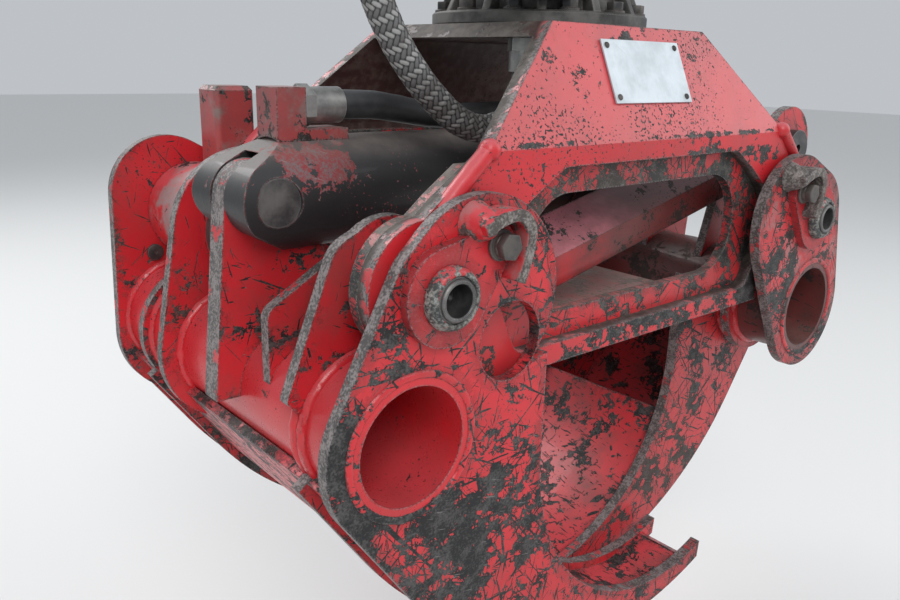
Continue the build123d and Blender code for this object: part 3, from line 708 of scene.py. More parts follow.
class Finish(Enum):
    """The grapple's finishes."""

    RED = WornPaint("red_paint", wear=0.17, sides=0.5)
    RED_GLOSSY = WornPaint("red_paint_glossy", wear=0.06, gloss=0.28, specks=0.2, grime=0.25, seed=3.0)
    RED_GRIMY = WornPaint(
        "red_paint_grimy", wear=0.20, top_fade_and_skylight=0.2, scratches=0.2, grime=1.0, right_darkening=(-100.0, 20.0), dust=0.3, seed=30.0,
    )
    RED_RING = WornPaint(
        "red_paint_tube_mouth", wear=0.34, edge=0.6, scratches=0.4, sides=0.25, seed=24.0,
        spots=(Spot(-290.0, -150.0, 62.0, 0.42), Spot(290.0, -150.0, 60.0, 0.3)),
    )
    RED_BOSS = WornPaint(
        "red_paint_scuffed", wear=0.24, scuffed=1.0, top_fade_and_skylight=0.9, seed=6.0, scuff_colour=(0.33, 0.24, 0.235),
    )
    RED_SEAM = WornPaint("red_paint_seam", wear=0.08, edge=0.1, specks=0.2, top_fade_and_skylight=1.2, seed=2.0)
    RED_FLAG = WornPaint("red_paint_flag", wear=0.14, band=1.0, scratches=0.3, top_fade_and_skylight=0.2, seed=5.0)
    RED_GUARD = WornPaint(
        "red_paint_rubbed_off", wear=0.40, edge=0.2, seed=11.0, scuffed=0.5, fronts=0.9,
        spots=(Spot(215.0, 30.0, 90.0, 0.55),),
        under=((0.075, 0.066, 0.060), (0.30, 0.27, 0.25)),
    )
    RED_BEAD = WornPaint(
        "red_paint_pin_bead", wear=0.88, edge=0.1, specks=1.0, top_fade_and_skylight=0.8, seed=33.0,
        under=((0.050, 0.055, 0.054), (0.36, 0.36, 0.33)),
    )
    RED_LEFT_PLATE = WornPaint(
        "red_paint_scratched", wear=0.33, edge=1.3, band=0.5, scratches=1.0, sides=0.9, top_fade_and_skylight=0.3, seed=4.0,
        whole=Spot(-185.0, -45.0, 34.0, 0.0),
        spots=(
            Spot(-265.0, -191.0, 120.0, 0.24), Spot(-335.0, -110.0, 70.0, 0.45), Spot(-205.0, -150.0, 75.0, 0.14),
            Spot(-150.0, -230.0, 95.0, 0.10), Spot(-60.0, -285.0, 90.0, -0.05), Spot(-240.0, 15.0, 75.0, -0.10),
        ),
    )
    RED_RIGHT_PLATE = WornPaint(
        "red_paint_right", wear=0.30, band=0.5, scratches=0.7, sides=0.9, scuffed=0.6, grime=0.7, seed=14.0,
        spots=(Spot(190.0, -60.0, 60.0, 0.2), Spot(300.0, -130.0, 60.0, 0.12)),
    )
    RED_PLATE = WornPaint("red_paint_plates", wear=0.21, band=0.3, scratches=0.1, sides=1.0, grime=0.5, seed=8.0)
    RED_CLAW = WornPaint("red_paint_claw", wear=0.36, band=0.4, scratches=0.9, sides=0.9, seed=17.0)
    RED_SKIN = WornPaint("red_paint_claw_skin", wear=0.38, band=0.3, scratches=0.3, grime=0.8, seed=19.0)
    RED_BLOCK = WornPaint(
        "red_paint_dirty", colour=(0.38, 0.055, 0.055), wear=0.20, scuffed=1.0, grime=0.9, seed=31.0, dust=0.5,
        scuff_colour=(0.24, 0.17, 0.155),
    )
    RED_SADDLE = WornPaint(
        "red_paint_saddle", wear=0.07, sides=0.75, specks=1.3, specks_above=86.0, top_fade_and_skylight=1.2, seed=2.0, dust=0.15,
        inside_dark=0.95, top_fade_and_skylight_colour=(0.60, 0.17, 0.18),
        strips=(Strip(87.0, 91.0, 0.42), Strip(60.0, 76.0, 0.26), Strip(-90.0, -52.0, 0.38)),
        spots=(Spot(150.0, -75.0, 90.0, 0.16), Spot(-215.0, 10.0, 60.0, 0.06), Spot(40.0, 96.0, 95.0, 0.07)),
    )
    RED_LINER = WornPaint(
        "red_paint_lining", wear=0.52, band=0.35, scratches=0.7, dust=0.5, seed=12.0,
        under=((0.028, 0.029, 0.029), (0.11, 0.105, 0.095)),
        strips=(Strip(-75.0, -44.0, -0.10), Strip(50.0, 80.0, -0.04)),
    )
    RED_FLOOR = WornPaint("red_paint_floor", wear=0.30, scratches=0.6, dust=1.1, grime=0.7, seed=28.0)
    RED_LINK = WornPaint(
        "red_paint_link", wear=0.10, edge=1.2, top_fade_and_skylight=1.5, specks=0.5, seed=20.0, top_fade_and_skylight_colour=(0.66, 0.225, 0.265),
        down_facing_dark=0.6, grime=0.6, right_darkening=(-85.0, 30.0),
        spots=(Spot(-62.0, 12.0, 30.0, 0.22), Spot(130.0, 20.0, 110.0, 0.30), Spot(30.0, -22.0, 60.0, 0.15)),
    )
    BARREL = WornPaint(
        "black_paint_barrel", colour=(0.018, 0.018, 0.019), wear=0.03, edge=0.35, top_fade_and_skylight=0.6, seed=9.0,
        top_fade_and_skylight_colour=(0.085, 0.085, 0.088), under=((0.30, 0.045, 0.05), (0.20, 0.15, 0.155)), specks=0.2, grime=0.0,
        gloss=0.52, dust=0.45,
        spots=(Spot(-262.0, 76.0, 46.0, 0.40), Spot(-204.0, 56.0, 22.0, 0.42), Spot(40.0, 60.0, 90.0, 0.10)),
    )
    CAST = Steel("greasy_casting", (0.040, 0.039, 0.038), (0.175, 0.168, 0.155), 0.5, 0.3, 0.7, 1.0)
    DARK = Steel("blackened_steel", (0.03, 0.028, 0.027), (0.15, 0.135, 0.12), 0.5, 0.6, 0.6, 2.0)
    BOLT = Steel("weathered_bolt", (0.035, 0.036, 0.038), (0.17, 0.15, 0.135), 0.52, 0.5, 0.5, 7.0)
    BARE = Steel("bare_pin_steel", (0.06, 0.06, 0.062), (0.26, 0.25, 0.24), 0.45, 0.6, 0.5, 3.0)
    ZINC = Steel("zinc_fitting", (0.22, 0.22, 0.215), (0.52, 0.51, 0.49), 0.40, 0.75, 0.3, 15.0)
    CHROME = Steel("chromed_rod", (0.50, 0.50, 0.51), (0.72, 0.72, 0.74), 0.28, 1.0, 0.1, 5.0)
    BRAID = Braid()
    RUBBER = Rubber()
    PLATE = Plate()
    SEAL = Steel("rubber_seal", (0.010, 0.010, 0.010), (0.03, 0.03, 0.03), 0.6, 0.0, 0.3, 18.0)


class Paintbox:
    """Makes each finish once and lends it out."""

    def __init__(self) -> None:
        """Start with nothing mixed."""
        self._made: dict[Finish, bpy.types.Material] = {}

    def get(self, finish: Finish) -> bpy.types.Material:
        """The material of a finish.

        Args:
            finish: Which finish.

        Returns:
            Its material, built on first use.
        """
        if finish not in self._made:
            self._made[finish] = finish.value.build()
        return self._made[finish]

    def dress(self, node: str, finish: Finish) -> None:
        """Give a carried-over node its finish.

        Args:
            node: The node's name.
            finish: Its finish.
        """
        piece = frame["nodes"][node]
        piece.data.materials.clear()
        piece.data.materials.append(self.get(finish))


SLOT_FINISH = {
    Slot.RED_PAINT: Finish.RED,
    Slot.DARK_CAST: Finish.CAST,
    Slot.DARK_STEEL: Finish.DARK,
    Slot.BARE_STEEL: Finish.BARE,
    Slot.WORN_BLACK: Finish.BARREL,
    Slot.CHROME_ROD: Finish.CHROME,
    Slot.HOSE_RUBBER: Finish.RUBBER,
}
FINISH_NODES = {
    Finish.RED_LEFT_PLATE: ("left_plate_near_outer",),
    Finish.RED_RIGHT_PLATE: ("right_plate_near_outer",),
    Finish.RED_PLATE: (
        "left_plate_near_inner", "left_plate_far_inner", "left_plate_far_outer", "right_plate_near_inner",
        "right_plate_far_outer", "left_link_lever", "left_cylinder_lug", "right_cylinder_lugs",
    ),
    Finish.RED_CLAW: ("right_plate_far_inner", "right_claw_cheek", "left_tine_far_inner"),
    Finish.RED_SKIN: ("right_claw_skins", "left_near_tine_skins", "left_far_tine_skins", "left_back_plate"),
    Finish.RED_GLOSSY: ("left_cross_tube",),
    Finish.RED_GRIMY: ("right_cross_tube",),
    Finish.RED_BOSS: ("left_near_boss", "left_far_boss", "right_near_boss", "right_far_boss"),
    Finish.RED_FLAG: ("left_pin_flag", "right_pin_flag"),
    Finish.RED_SADDLE: ("frame_saddle",),
    Finish.RED_LINER: ("frame_near_liner", "frame_far_liner"),
    Finish.RED_FLOOR: ("frame_floor",),
    Finish.RED_BLOCK: ("frame_hose_post", "barrel_port_block"),
    Finish.ZINC: ("rotor_hose_fittings", "barrel_hose_fittings"),
}
NODE_FINISH = {node: finish for finish, nodes in FINISH_NODES.items() for node in nodes}


class Bench:
    """Modelling steps that the pieces share."""

    @staticmethod
    def clear() -> None:
        """Deselect everything."""
        bpy.ops.object.select_all(action="DESELECT")

    @staticmethod
    def only(piece: bpy.types.Object) -> None:
        """Select one piece alone and make it active."""
        Bench.clear()
        piece.select_set(True)
        bpy.context.view_layer.objects.active = piece

    @staticmethod
    def modify(piece: bpy.types.Object, kind: str, **settings: object) -> None:
        """Add a modifier and apply it.

        Args:
            piece: The piece to shape.
            kind: The modifier's type.
            settings: Its settings by name.
        """
        Bench.only(piece)
        modifier = piece.modifiers.new(kind.lower(), kind)
        for key, value in settings.items():
            setattr(modifier, key, value)
        bpy.ops.object.modifier_apply(modifier=modifier.name)

    @staticmethod
    def added(name: str, data: bpy.types.ID) -> bpy.types.Object:
        """Put an object with the data in the scene and make it active."""
        piece = bpy.data.objects.new(name, data)
        bpy.context.collection.objects.link(piece)
        Bench.only(piece)
        return piece

    @staticmethod
    def thread(name: str, points: list[Vector], detail: int = 12) -> bpy.types.Curve:
        """A smooth line led by points, from the first to the last.

        Args:
            name: The curve's name.
            points: The points in the frame.
            detail: Steps from one point to the next.

        Returns:
            The curve.
        """
        curve = bpy.data.curves.new(name, "CURVE")
        curve.dimensions, curve.resolution_u = "3D", detail
        line = curve.splines.new("NURBS")
        line.points.add(len(points) - 1)
        for point, spot in zip(line.points, points):
            point.co = (*spot, 1.0)
        line.order_u = 3
        line.use_endpoint_u = True
        return curve

    @staticmethod
    def meshed(curve: bpy.types.Curve) -> bpy.types.Object:
        """The curve as an object with a mesh."""
        Bench.added(curve.name, curve)
        bpy.ops.object.convert(target="MESH")
        return bpy.context.object

    @staticmethod
    def box(size: tuple[float, float, float], centre: Vector) -> bpy.types.Object:
        """A block along the axes.

        Args:
            size: Its size in millimetres.
            centre: Its centre in the frame.

        Returns:
            The block.
        """
        Bench.clear()
        bpy.ops.mesh.primitive_cube_add(size=1.0, location=centre)
        block = bpy.context.object
        block.scale = Vector(size) * MM
        bpy.ops.object.transform_apply(location=True, rotation=True, scale=True)
        return block

    @staticmethod
    def turned(profile: list[tuple[float, float]], steps: int = 40) -> bpy.types.Object:
        """Spin a profile about the upward axis, as on a lathe.

        Args:
            profile: Radius and height of each point in millimetres, closed or ending on the axis.
            steps: Facets round the piece.

        Returns:
            The turned piece, standing on the origin.
        """
        mesh = bpy.data.meshes.new("turned")
        mesh.from_pydata([(r * MM, 0.0, h * MM) for r, h in profile], [(i, i + 1) for i in range(len(profile) - 1)], [])
        piece = Bench.added("turned", mesh)
        bpy.ops.object.mode_set(mode="EDIT")
        bpy.ops.mesh.select_all(action="SELECT")
        bpy.ops.mesh.spin(steps=steps, angle=math.tau, center=(0.0, 0.0, 0.0), axis=(0.0, 0.0, 1.0))
        bpy.ops.mesh.select_all(action="SELECT")
        bpy.ops.mesh.remove_doubles(threshold=0.00002)
        bpy.ops.mesh.normals_make_consistent(inside=False)
        bpy.ops.object.mode_set(mode="OBJECT")
        return piece

    @staticmethod
    def hexagon(flats: float, height: float, chamfer: float = 0.9) -> bpy.types.Object:
        """A hexagon head with a chamfered and dished top.

        Args:
            flats: Size across the flats in millimetres.
            height: Its height.
            chamfer: Size of the edge bevel.

        Returns:
            The head, standing on the origin.
        """
        Bench.clear()
        radius = flats / math.sqrt(3.0) * MM
        bpy.ops.mesh.primitive_cylinder_add(
            vertices=6, radius=radius, depth=height * MM, location=(0.0, 0.0, height / 2 * MM)
        )
        piece = bpy.context.object
        bpy.ops.object.mode_set(mode="EDIT")
        shape = bmesh.from_edit_mesh(piece.data)
        for face in shape.faces:
            face.select_set(face.normal.z > 0.9)
        bmesh.update_edit_mesh(piece.data)
        bpy.ops.mesh.inset(thickness=flats * 0.16 * MM)
        bpy.ops.transform.translate(value=(0.0, 0.0, -0.35 * MM))
        bpy.ops.object.mode_set(mode="OBJECT")
        bpy.ops.object.transform_apply(location=True, rotation=True, scale=True)
        Bench.modify(piece, "BEVEL", width=chamfer * MM, segments=2, limit_method="ANGLE", angle_limit=math.radians(40))
        return piece

    @staticmethod
    def place(piece: bpy.types.Object, spot: Vector, facing: Facing, spin: float = 0.0) -> bpy.types.Object:
        """Spin a piece about its axis, turn it to its facing and set it down, all worked into its mesh.

        Args:
            piece: A piece that stands on the origin.
            spot: Where its foot goes, in the frame.
            facing: Where its upward axis goes.
            spin: Turn about its own axis before that, in radians.

        Returns:
            The same piece.
        """
        Bench.only(piece)
        piece.rotation_euler = (0.0, 0.0, spin)
        bpy.ops.object.transform_apply(location=False, rotation=True, scale=False)
        piece.rotation_euler = facing.value
        piece.location = spot
        bpy.ops.object.transform_apply(location=True, rotation=True, scale=True)
        return piece

    @staticmethod
    def join(pieces: list[bpy.types.Object]) -> bpy.types.Object:
        """Join pieces into the first one."""
        Bench.clear()
        for piece in pieces:
            piece.select_set(True)
        bpy.context.view_layer.objects.active = pieces[0]
        bpy.ops.object.join()
        return pieces[0]

    @staticmethod
    def done(piece: bpy.types.Object, name: str, body: Body, slot: Slot, finish: bpy.types.Material,
             angle: float = 35.0) -> bpy.types.Object:
        """Name a finished piece, smooth it, give it its finish and let it ride.

        Args:
            piece: The piece.
            name: Its plain name.
            body: The body that it moves with.
            slot: The record's slot of its finish; not used.
            finish: Its material.
            angle: Edges sharper than this stay sharp, in degrees.

        Returns:
            The same piece.
        """
        Bench.only(piece)
        bpy.ops.object.shade_smooth_by_angle(angle=math.radians(angle))
        piece.name = name
        piece.data.materials.clear()
        piece.data.materials.append(finish)
        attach(piece, body.value)
        log.info("%s: %d faces, rides on %s", name, len(piece.data.polygons), body.value)
        return piece


@dataclass
class CarriedNodes:
    """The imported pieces, each with its finish."""

    paints: Paintbox

    def build(self) -> None:
        """Dress every carried-over node."""
        slots = {part["node"]: Slot(part["material_slot"]) for part in frame["record"]["subparts"]}
        for name in frame["nodes"]:
            finish = NODE_FINISH.get(name, SLOT_FINISH[slots[name]])
            self.paints.dress(name, finish)
        log.info("dressed %d carried-over nodes", len(frame["nodes"]))


@dataclass
class Welds:
    """Weld beads round the cross tubes, and the raised seams of the frame."""

    paints: Paintbox
    tube_r: float = 51.0
    tube_fillet: float = 4.5
    both_faces: tuple[float, ...] = (-155.0, -109.0, -99.0, 92.0, 102.0, 215.0)
    left_faces: tuple[float, ...] = (156.0, 166.0)
    right_faces: tuple[float, ...] = (-90.0, -80.0)
    mouth: float = 2.9
    mouth_flatness: float = 0.62
    seam: float = 6.5
    seam_line: tuple[tuple[float, float], ...] = ((198.0, 87.0), (219.0, 68.5), (238.0, 50.0))
    seam_depth: float = 1.5
    ball: float = 8.0
    ball_spot: tuple[float, float] = (196.0, 88.0)

    def rough(self, piece: bpy.types.Object, depth: float, grain: float) -> None:
        """Roughen a bead with clouds, as a weld runs.

        Args:
            piece: The bead.
            depth: How far the clouds move its surface, in millimetres.
            grain: Their size in millimetres.
        """
        clouds = bpy.data.textures.new("weld_clouds", "CLOUDS")
        clouds.noise_scale = grain * MM
        Bench.modify(piece, "DISPLACE", texture=clouds, strength=depth * MM, mid_level=0.5, texture_coords="GLOBAL")

    def ring(self, centre: Vector, radius: float, thick: float) -> bpy.types.Object:
        """A bead round a tube that runs across the jaw.

        Args:
            centre: The ring's centre in the frame.
            radius: Radius to the bead's middle, in millimetres.
            thick: The bead's own radius.

        Returns:
            The bead.
        """
        Bench.clear()
        bpy.ops.mesh.primitive_torus_add(
            location=centre, rotation=Facing.NEAR.value, major_segments=96, minor_segments=10,
            major_radius=radius * MM, minor_radius=thick * MM,
        )
        ring = bpy.context.object
        bpy.ops.object.transform_apply(location=True, rotation=True, scale=True)
        self.rough(ring, 1.6, 5.0)
        return ring

    def tube_rings(self, side: str, body: Body, faces: tuple[float, ...]) -> None:
        """The beads that hold an arm's plates on its tube.

        Args:
            side: Name of the arm.
            body: The arm's body.
            faces: Y of each plate face that has a bead, in millimetres.
        """
        x = TUBE[0] if side == "left" else -TUBE[0]
        rings = [self.ring(at(x, y, TUBE[1]), self.tube_r, self.tube_fillet) for y in faces]
        Bench.done(Bench.join(rings), f"{side}_tube_welds", body, Slot.RED_PAINT, self.paints.get(Finish.RED_GLOSSY))
        mouths = [
            self.ring(at(x, face, TUBE[1]), self.tube_r + 0.3, self.mouth) for face in (NEAR_FACE, FAR_FACE)
        ]
        for mouth, face in zip(mouths, (NEAR_FACE, FAR_FACE)):
            for vertex in mouth.data.vertices:
                vertex.co.y = face * MM + (vertex.co.y - face * MM) * self.mouth_flatness
        Bench.done(Bench.join(mouths), f"{side}_tube_mouths", body, Slot.RED_PAINT, self.paints.get(Finish.RED_RING))

    def frame_seam(self, right: bool, far: bool) -> None:
        """The raised seam along a slanted corner of the saddle, with its round end on the crease.

        Args:
            right: Whether it is on the right half.
            far: Whether it is on the far wall.
        """
        sign_x, sign_y = (1.0 if right else -1.0), (1.0 if far else -1.0)
        wall = sign_y * (WALL_Y - self.seam_depth)
        curve = Bench.thread("seam", [at(sign_x * x, wall, z) for x, z in self.seam_line])
        curve.bevel_depth, curve.bevel_resolution, curve.use_fill_caps = self.seam * MM, 4, True
        seam = Bench.meshed(curve)
        Bench.clear()
        x, z = self.ball_spot
        bpy.ops.mesh.primitive_uv_sphere_add(
            segments=24, ring_count=16, radius=self.ball * MM, location=at(sign_x * x, wall, z)
        )
        ball = bpy.context.object
        bpy.ops.object.transform_apply(location=True, rotation=True, scale=True)
        both = Bench.join([seam, ball])
        self.rough(both, 0.8, 9.0)
        name = f"frame_seam_{'far' if far else 'near'}_{'right' if right else 'left'}"
        Bench.done(both, name, Body.FRAME, Slot.RED_PAINT, self.paints.get(Finish.RED_SEAM), 60.0)

    def build(self) -> None:
        """Make every bead."""
        self.tube_rings("left", Body.LEFT_ARM, self.both_faces + self.left_faces)
        self.tube_rings("right", Body.RIGHT_ARM, self.both_faces + self.right_faces)
        for right in (False, True):
            for far in (False, True):
                self.frame_seam(right, far)


@dataclass
class PinHardware:
    """A hollow near pin with its bead and grease nipple, the flag's bolt with two washers, and its bent guard."""

    paints: Paintbox
    side: str
    body: Body
    bolt: tuple[float, float] = (42.5, 29.5)
    flag_face: float = -173.0
    pin_face: float = -183.5
    washer: float = 11.0
    small_washer: float = 8.5
    thick: float = 3.0
    flats: float = 17.0
    head: float = 6.6
    pin_end: float = -96.0
    guard_line: tuple[tuple[float, float], ...] = (
        (-24.0, 13.0), (-6.0, 21.5), (13.0, 20.5), (20.5, 3.0), (9.0, -25.0),
    )
    guard_width: float = 8.6
    guard_out: float = 21.4
    lump: tuple[float, float] = (-16.0, 15.5)

    def pin(self, sign: float) -> None:
        """The hollow pin, with the rough bead that holds it to its flag plate.

        Args:
            sign: -1 on the left and 1 on the right.
        """
        centre = sign * PIVOT_X
        deep = self.pin_end - self.pin_face
        tube = Bench.turned([(11.2, -deep), (11.2, -0.6), (12.0, 0.0), (13.3, 0.0), (14.2, -0.9), (14.5, -2.8),
                             (15.6, -3.2), (19.0, -5.0), (20.0, -7.0), (20.0, -deep), (11.2, -deep)], 72)
        Bench.place(tube, at(centre, self.pin_face, 0.0), Facing.NEAR)
        Bench.done(tube, f"{self.side}_hollow_pin", self.body, Slot.BARE_STEEL, self.paints.get(Finish.BARE))
        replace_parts(tube, f"{self.side}_near_pin")
        bead = Bench.turned([(15.2, -11.4), (22.2, -11.4), (21.6, -7.6), (20.8, -4.4), (19.0, -2.0), (17.0, -1.3),
                             (15.4, -2.2), (15.2, -11.4)], 96)
        Bench.modify(bead, "SUBSURF", levels=2, render_levels=2)
        Bench.place(bead, at(centre, self.pin_face, 0.0), Facing.NEAR)
        Welds(self.paints).rough(bead, 1.1, 1.6)
        Bench.done(bead, f"{self.side}_pin_weld", self.body, Slot.RED_PAINT, self.paints.get(Finish.RED_BEAD), 60.0)

    def guard(self, sign: float) -> None:
        """The bent bar that shields the bolt, grown into its round weld lump.

        Args:
            sign: -1 on the left and 1 on the right.
        """
        x, z = sign * (PIVOT_X - self.bolt[0]), self.bolt[1]
        bar = Bench.meshed(Bench.thread("guard", [at(x + dx, NEAR_FACE, z + dz) for dx, dz in self.guard_line]))
        bpy.ops.object.mode_set(mode="EDIT")
        bpy.ops.mesh.select_all(action="SELECT")
        bpy.ops.mesh.extrude_region_move(TRANSFORM_OT_translate={"value": (0.0, -self.guard_out * MM, 0.0)})
        bpy.ops.object.mode_set(mode="OBJECT")
        Bench.modify(bar, "SOLIDIFY", thickness=self.guard_width * MM, offset=0.0)
        lump = Bench.turned([(0.0, 19.6), (3.0, 19.3), (6.5, 17.9), (9.4, 14.8), (11.4, 9.5), (13.6, 3.5), (15.0, 0.0),
                             (0.0, 0.0)], 48)
        Bench.place(lump, at(x + self.lump[0], NEAR_FACE, z + self.lump[1]), Facing.NEAR)
        guard = Bench.join([bar, lump])
        Bench.modify(guard, "REMESH", mode="VOXEL", voxel_size=0.6 * MM)
        Bench.modify(guard, "SMOOTH", factor=0.5, iterations=8)
        Welds(self.paints).rough(guard, 0.3, 6.0)
        Bench.done(guard, f"{self.side}_bent_guard", self.body, Slot.RED_PAINT, self.paints.get(Finish.RED_GUARD), 60.0)
        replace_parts(guard, f"{self.side}_bolt_guard")

    def build(self) -> None:
        """Make the bolt, the pin, the guard and the nipple."""
        sign = -1.0 if self.side == "left" else 1.0
        x, z = sign * (PIVOT_X - self.bolt[0]), self.bolt[1]
        parts = []
        face = self.flag_face
        for radius in (self.washer, self.small_washer):
            flat = Bench.turned([(5.3, 0.0), (radius - 0.5, 0.0), (radius, 0.5), (radius, self.thick - 0.6),
                                 (radius - 0.6, self.thick), (5.3, self.thick), (5.3, 0.0)])
            parts.append(Bench.place(flat, at(x, face, z), Facing.NEAR))
            face -= self.thick
        parts.append(Bench.place(Bench.hexagon(self.flats, self.head), at(x, face, z), Facing.NEAR, 0.35))
        bolt = Bench.join(parts)
        Bench.done(bolt, f"{self.side}_flag_bolt", self.body, Slot.BARE_STEEL, self.paints.get(Finish.BOLT))
        self.pin(sign)
        seat = Bench.turned([(0.0, 0.0), (11.9, 0.0), (11.9, 3.0), (5.5, 3.0), (4.8, 3.6), (0.0, 3.6)], 40)
        hexagon = Bench.place(Bench.hexagon(7.0, 3.0, 0.4), Vector((0.0, 0.0, 3.0 * MM)), Facing.UP)
        self.guard(sign)
        nipple = Bench.turned([(0.0, 5.0), (2.6, 5.0), (2.6, 6.4), (1.8, 7.6), (1.8, 8.6), (3.1, 10.0), (3.1, 11.0),
                               (2.0, 12.4), (0.7, 12.8), (0.7, 12.3), (0.0, 12.3)], 24)
        whole = Bench.join([seat, hexagon, nipple])
        Bench.place(whole, at(sign * PIVOT_X, self.pin_face + 22.0, 0.0), Facing.NEAR)
        Bench.done(whole, f"{self.side}_grease_nipple", self.body, Slot.BARE_STEEL, self.paints.get(Finish.BOLT))


@dataclass
class Nameplate:
    """The blank rating plate on the frame's leaning near wall."""

    paints: Paintbox
    width: float = 103.0
    height: float = 53.0
    thick: float = 1.4
    corner: float = 3.0
    middle: tuple[float, float, float] = (0.0, -126.7, 140.0)
    lean: float = 23.94
    rivet: float = 2.6

    def build(self) -> None:
        """Make the plate with its raised rim and four rivets."""
        plate = Bench.box((self.width, self.height, self.thick), Vector((0.0, 0.0, self.thick / 2 * MM)))
        bpy.ops.object.mode_set(mode="EDIT")
        shape = bmesh.from_edit_mesh(plate.data)
        for edge in shape.edges:
            ends = [v.co for v in edge.verts]
            edge.select_set(abs(ends[0].z - ends[1].z) > 0.5 * self.thick * MM)
        bmesh.update_edit_mesh(plate.data)
        bpy.ops.mesh.bevel(offset=self.corner * MM, segments=5)
        shape = bmesh.from_edit_mesh(plate.data)
        for face in shape.faces:
            face.select_set(face.normal.z > 0.9)
        bmesh.update_edit_mesh(plate.data)
        bpy.ops.mesh.inset(thickness=1.2 * MM)
        bpy.ops.transform.translate(value=(0.0, 0.0, -0.25 * MM))
        bpy.ops.object.mode_set(mode="OBJECT")
        Bench.done(plate, "nameplate", Body.FRAME, Slot.BARE_STEEL, self.paints.get(Finish.PLATE), 20.0)
        rivets = []
        for x in (-1.0, 1.0):
            for y in (-1.0, 1.0):
                head = Bench.turned([(0.0, 1.5), (1.3, 1.35), (2.2, 0.8), (self.rivet, 0.0), (self.rivet, -0.6)], 20)
                spot = Vector((x * (self.width / 2 - 6.0), y * (self.height / 2 - 5.0), self.thick)) * MM
                rivets.append(Bench.place(head, spot, Facing.UP))
        heads = Bench.join(rivets)
        Bench.done(heads, "nameplate_rivets", Body.FRAME, Slot.BARE_STEEL, self.paints.get(Finish.BOLT))
        for piece in (plate, heads):
            Bench.only(piece)
            piece.rotation_euler = (math.pi / 2 - math.radians(self.lean), 0.0, 0.0)
            piece.location = at(*self.middle)
            bpy.ops.object.transform_apply(location=True, rotation=True, scale=True)


@dataclass
class SmallHardware:
    """The plug, pin caps, screws and the rod's wiper."""

    paints: Paintbox
    plug: tuple[float, float, float] = (-292.5, 215.0, -38.8)
    far_pin_end: float = 235.0
    swing_pin_end: float = 63.0
    swing_height: float = 425.0
    screw_circle: float = 103.0
    housing_top: float = 340.0
    rod_mouth: tuple[float, float, float] = (64.0, -8.0, 47.0)

    def screws(self, name: str, body: Body, spots: list[Vector], facing: Facing, flats: float, height: float,
               washer: float) -> bpy.types.Object:
        """A set of hexagon screws on washers.

        Args:
            name: The set's name.
            body: The body that carries it.
            spots: Where each stands, in the frame.
            facing: Where their heads point.
            flats: Size across the flats in millimetres.
            height: Height of a head.
            washer: Radius of a washer.

        Returns:
            The set.
        """
        parts = []
        for count, spot in enumerate(spots):
            flat = Bench.turned([(0.0, 0.0), (washer, 0.0), (washer, 1.6), (washer - 0.6, 2.2), (0.0, 2.2)], 28)
            head = Bench.place(Bench.hexagon(flats, height), Vector((0.0, 0.0, 2.2 * MM)), Facing.UP, count * 0.7)
            parts.append(Bench.place(Bench.join([flat, head]), spot, facing))
        return Bench.done(Bench.join(parts), name, body, Slot.BARE_STEEL, self.paints.get(Finish.BOLT))

    def cap(self, name: str, body: Body, spot: Vector, facing: Facing, radius: float, height: float,
            finish: Finish) -> None:
        """A turned cap or plug with a rounded rim and a centre hole.

        Args:
            name: Its name.
            body: The body that carries it.
            spot: Where it sits.
            facing: Where it faces.
            radius: Its radius in millimetres.
            height: How far it stands out.
            finish: Its finish.
        """
        rim = min(radius * 0.12, height * 0.6)
        profile = [
            (0.0, height * 0.45), (radius * 0.12, height * 0.5), (radius * 0.14, height), (radius - rim, height),
            (radius - rim * 0.3, height - rim * 0.3), (radius, height - rim), (radius, 0.0),
        ]
        piece = Bench.place(Bench.turned(profile, 48), spot, facing)
        Bench.done(piece, name, body, Slot.BARE_STEEL, self.paints.get(finish))

    def build(self) -> None:
        """Make them all."""
        self.cap("far_plate_plug", Body.LEFT_ARM, at(*self.plug), Facing.NEAR, 8.0, 2.5, Finish.BOLT)
        for side, body, x in (("left", Body.LEFT_ARM, -PIVOT_X), ("right", Body.RIGHT_ARM, PIVOT_X)):
            self.cap(f"{side}_far_pin_cap", body, at(x, self.far_pin_end, 0.0), Facing.FAR, 30.0, 1.5, Finish.BARE)
        for name, y, facing in (("near", -self.swing_pin_end, Facing.NEAR), ("far", self.swing_pin_end, Facing.FAR)):
            spot = at(0.0, y, self.swing_height)
            self.cap(f"swing_pin_cap_{name}", Body.ROTATOR, spot, facing, 20.0, 2.0, Finish.BARE)
        spots = around(8, self.screw_circle, self.housing_top, math.tau / 16)
        self.screws("housing_screws", Body.ROTATOR, spots, Facing.UP, 13.0, 6.0, 9.0)
        profile = [(25.1, 0.0), (31.0, 0.0), (31.0, 1.6), (29.5, 3.0), (26.0, 3.0), (25.1, 2.2), (25.1, 0.0)]
        seal = Bench.place(Bench.turned(profile, 48), at(*self.rod_mouth), Facing.RIGHT)
        Bench.done(seal, "rod_wiper", Body.BARREL, Slot.WORN_BLACK, self.paints.get(Finish.SEAL))


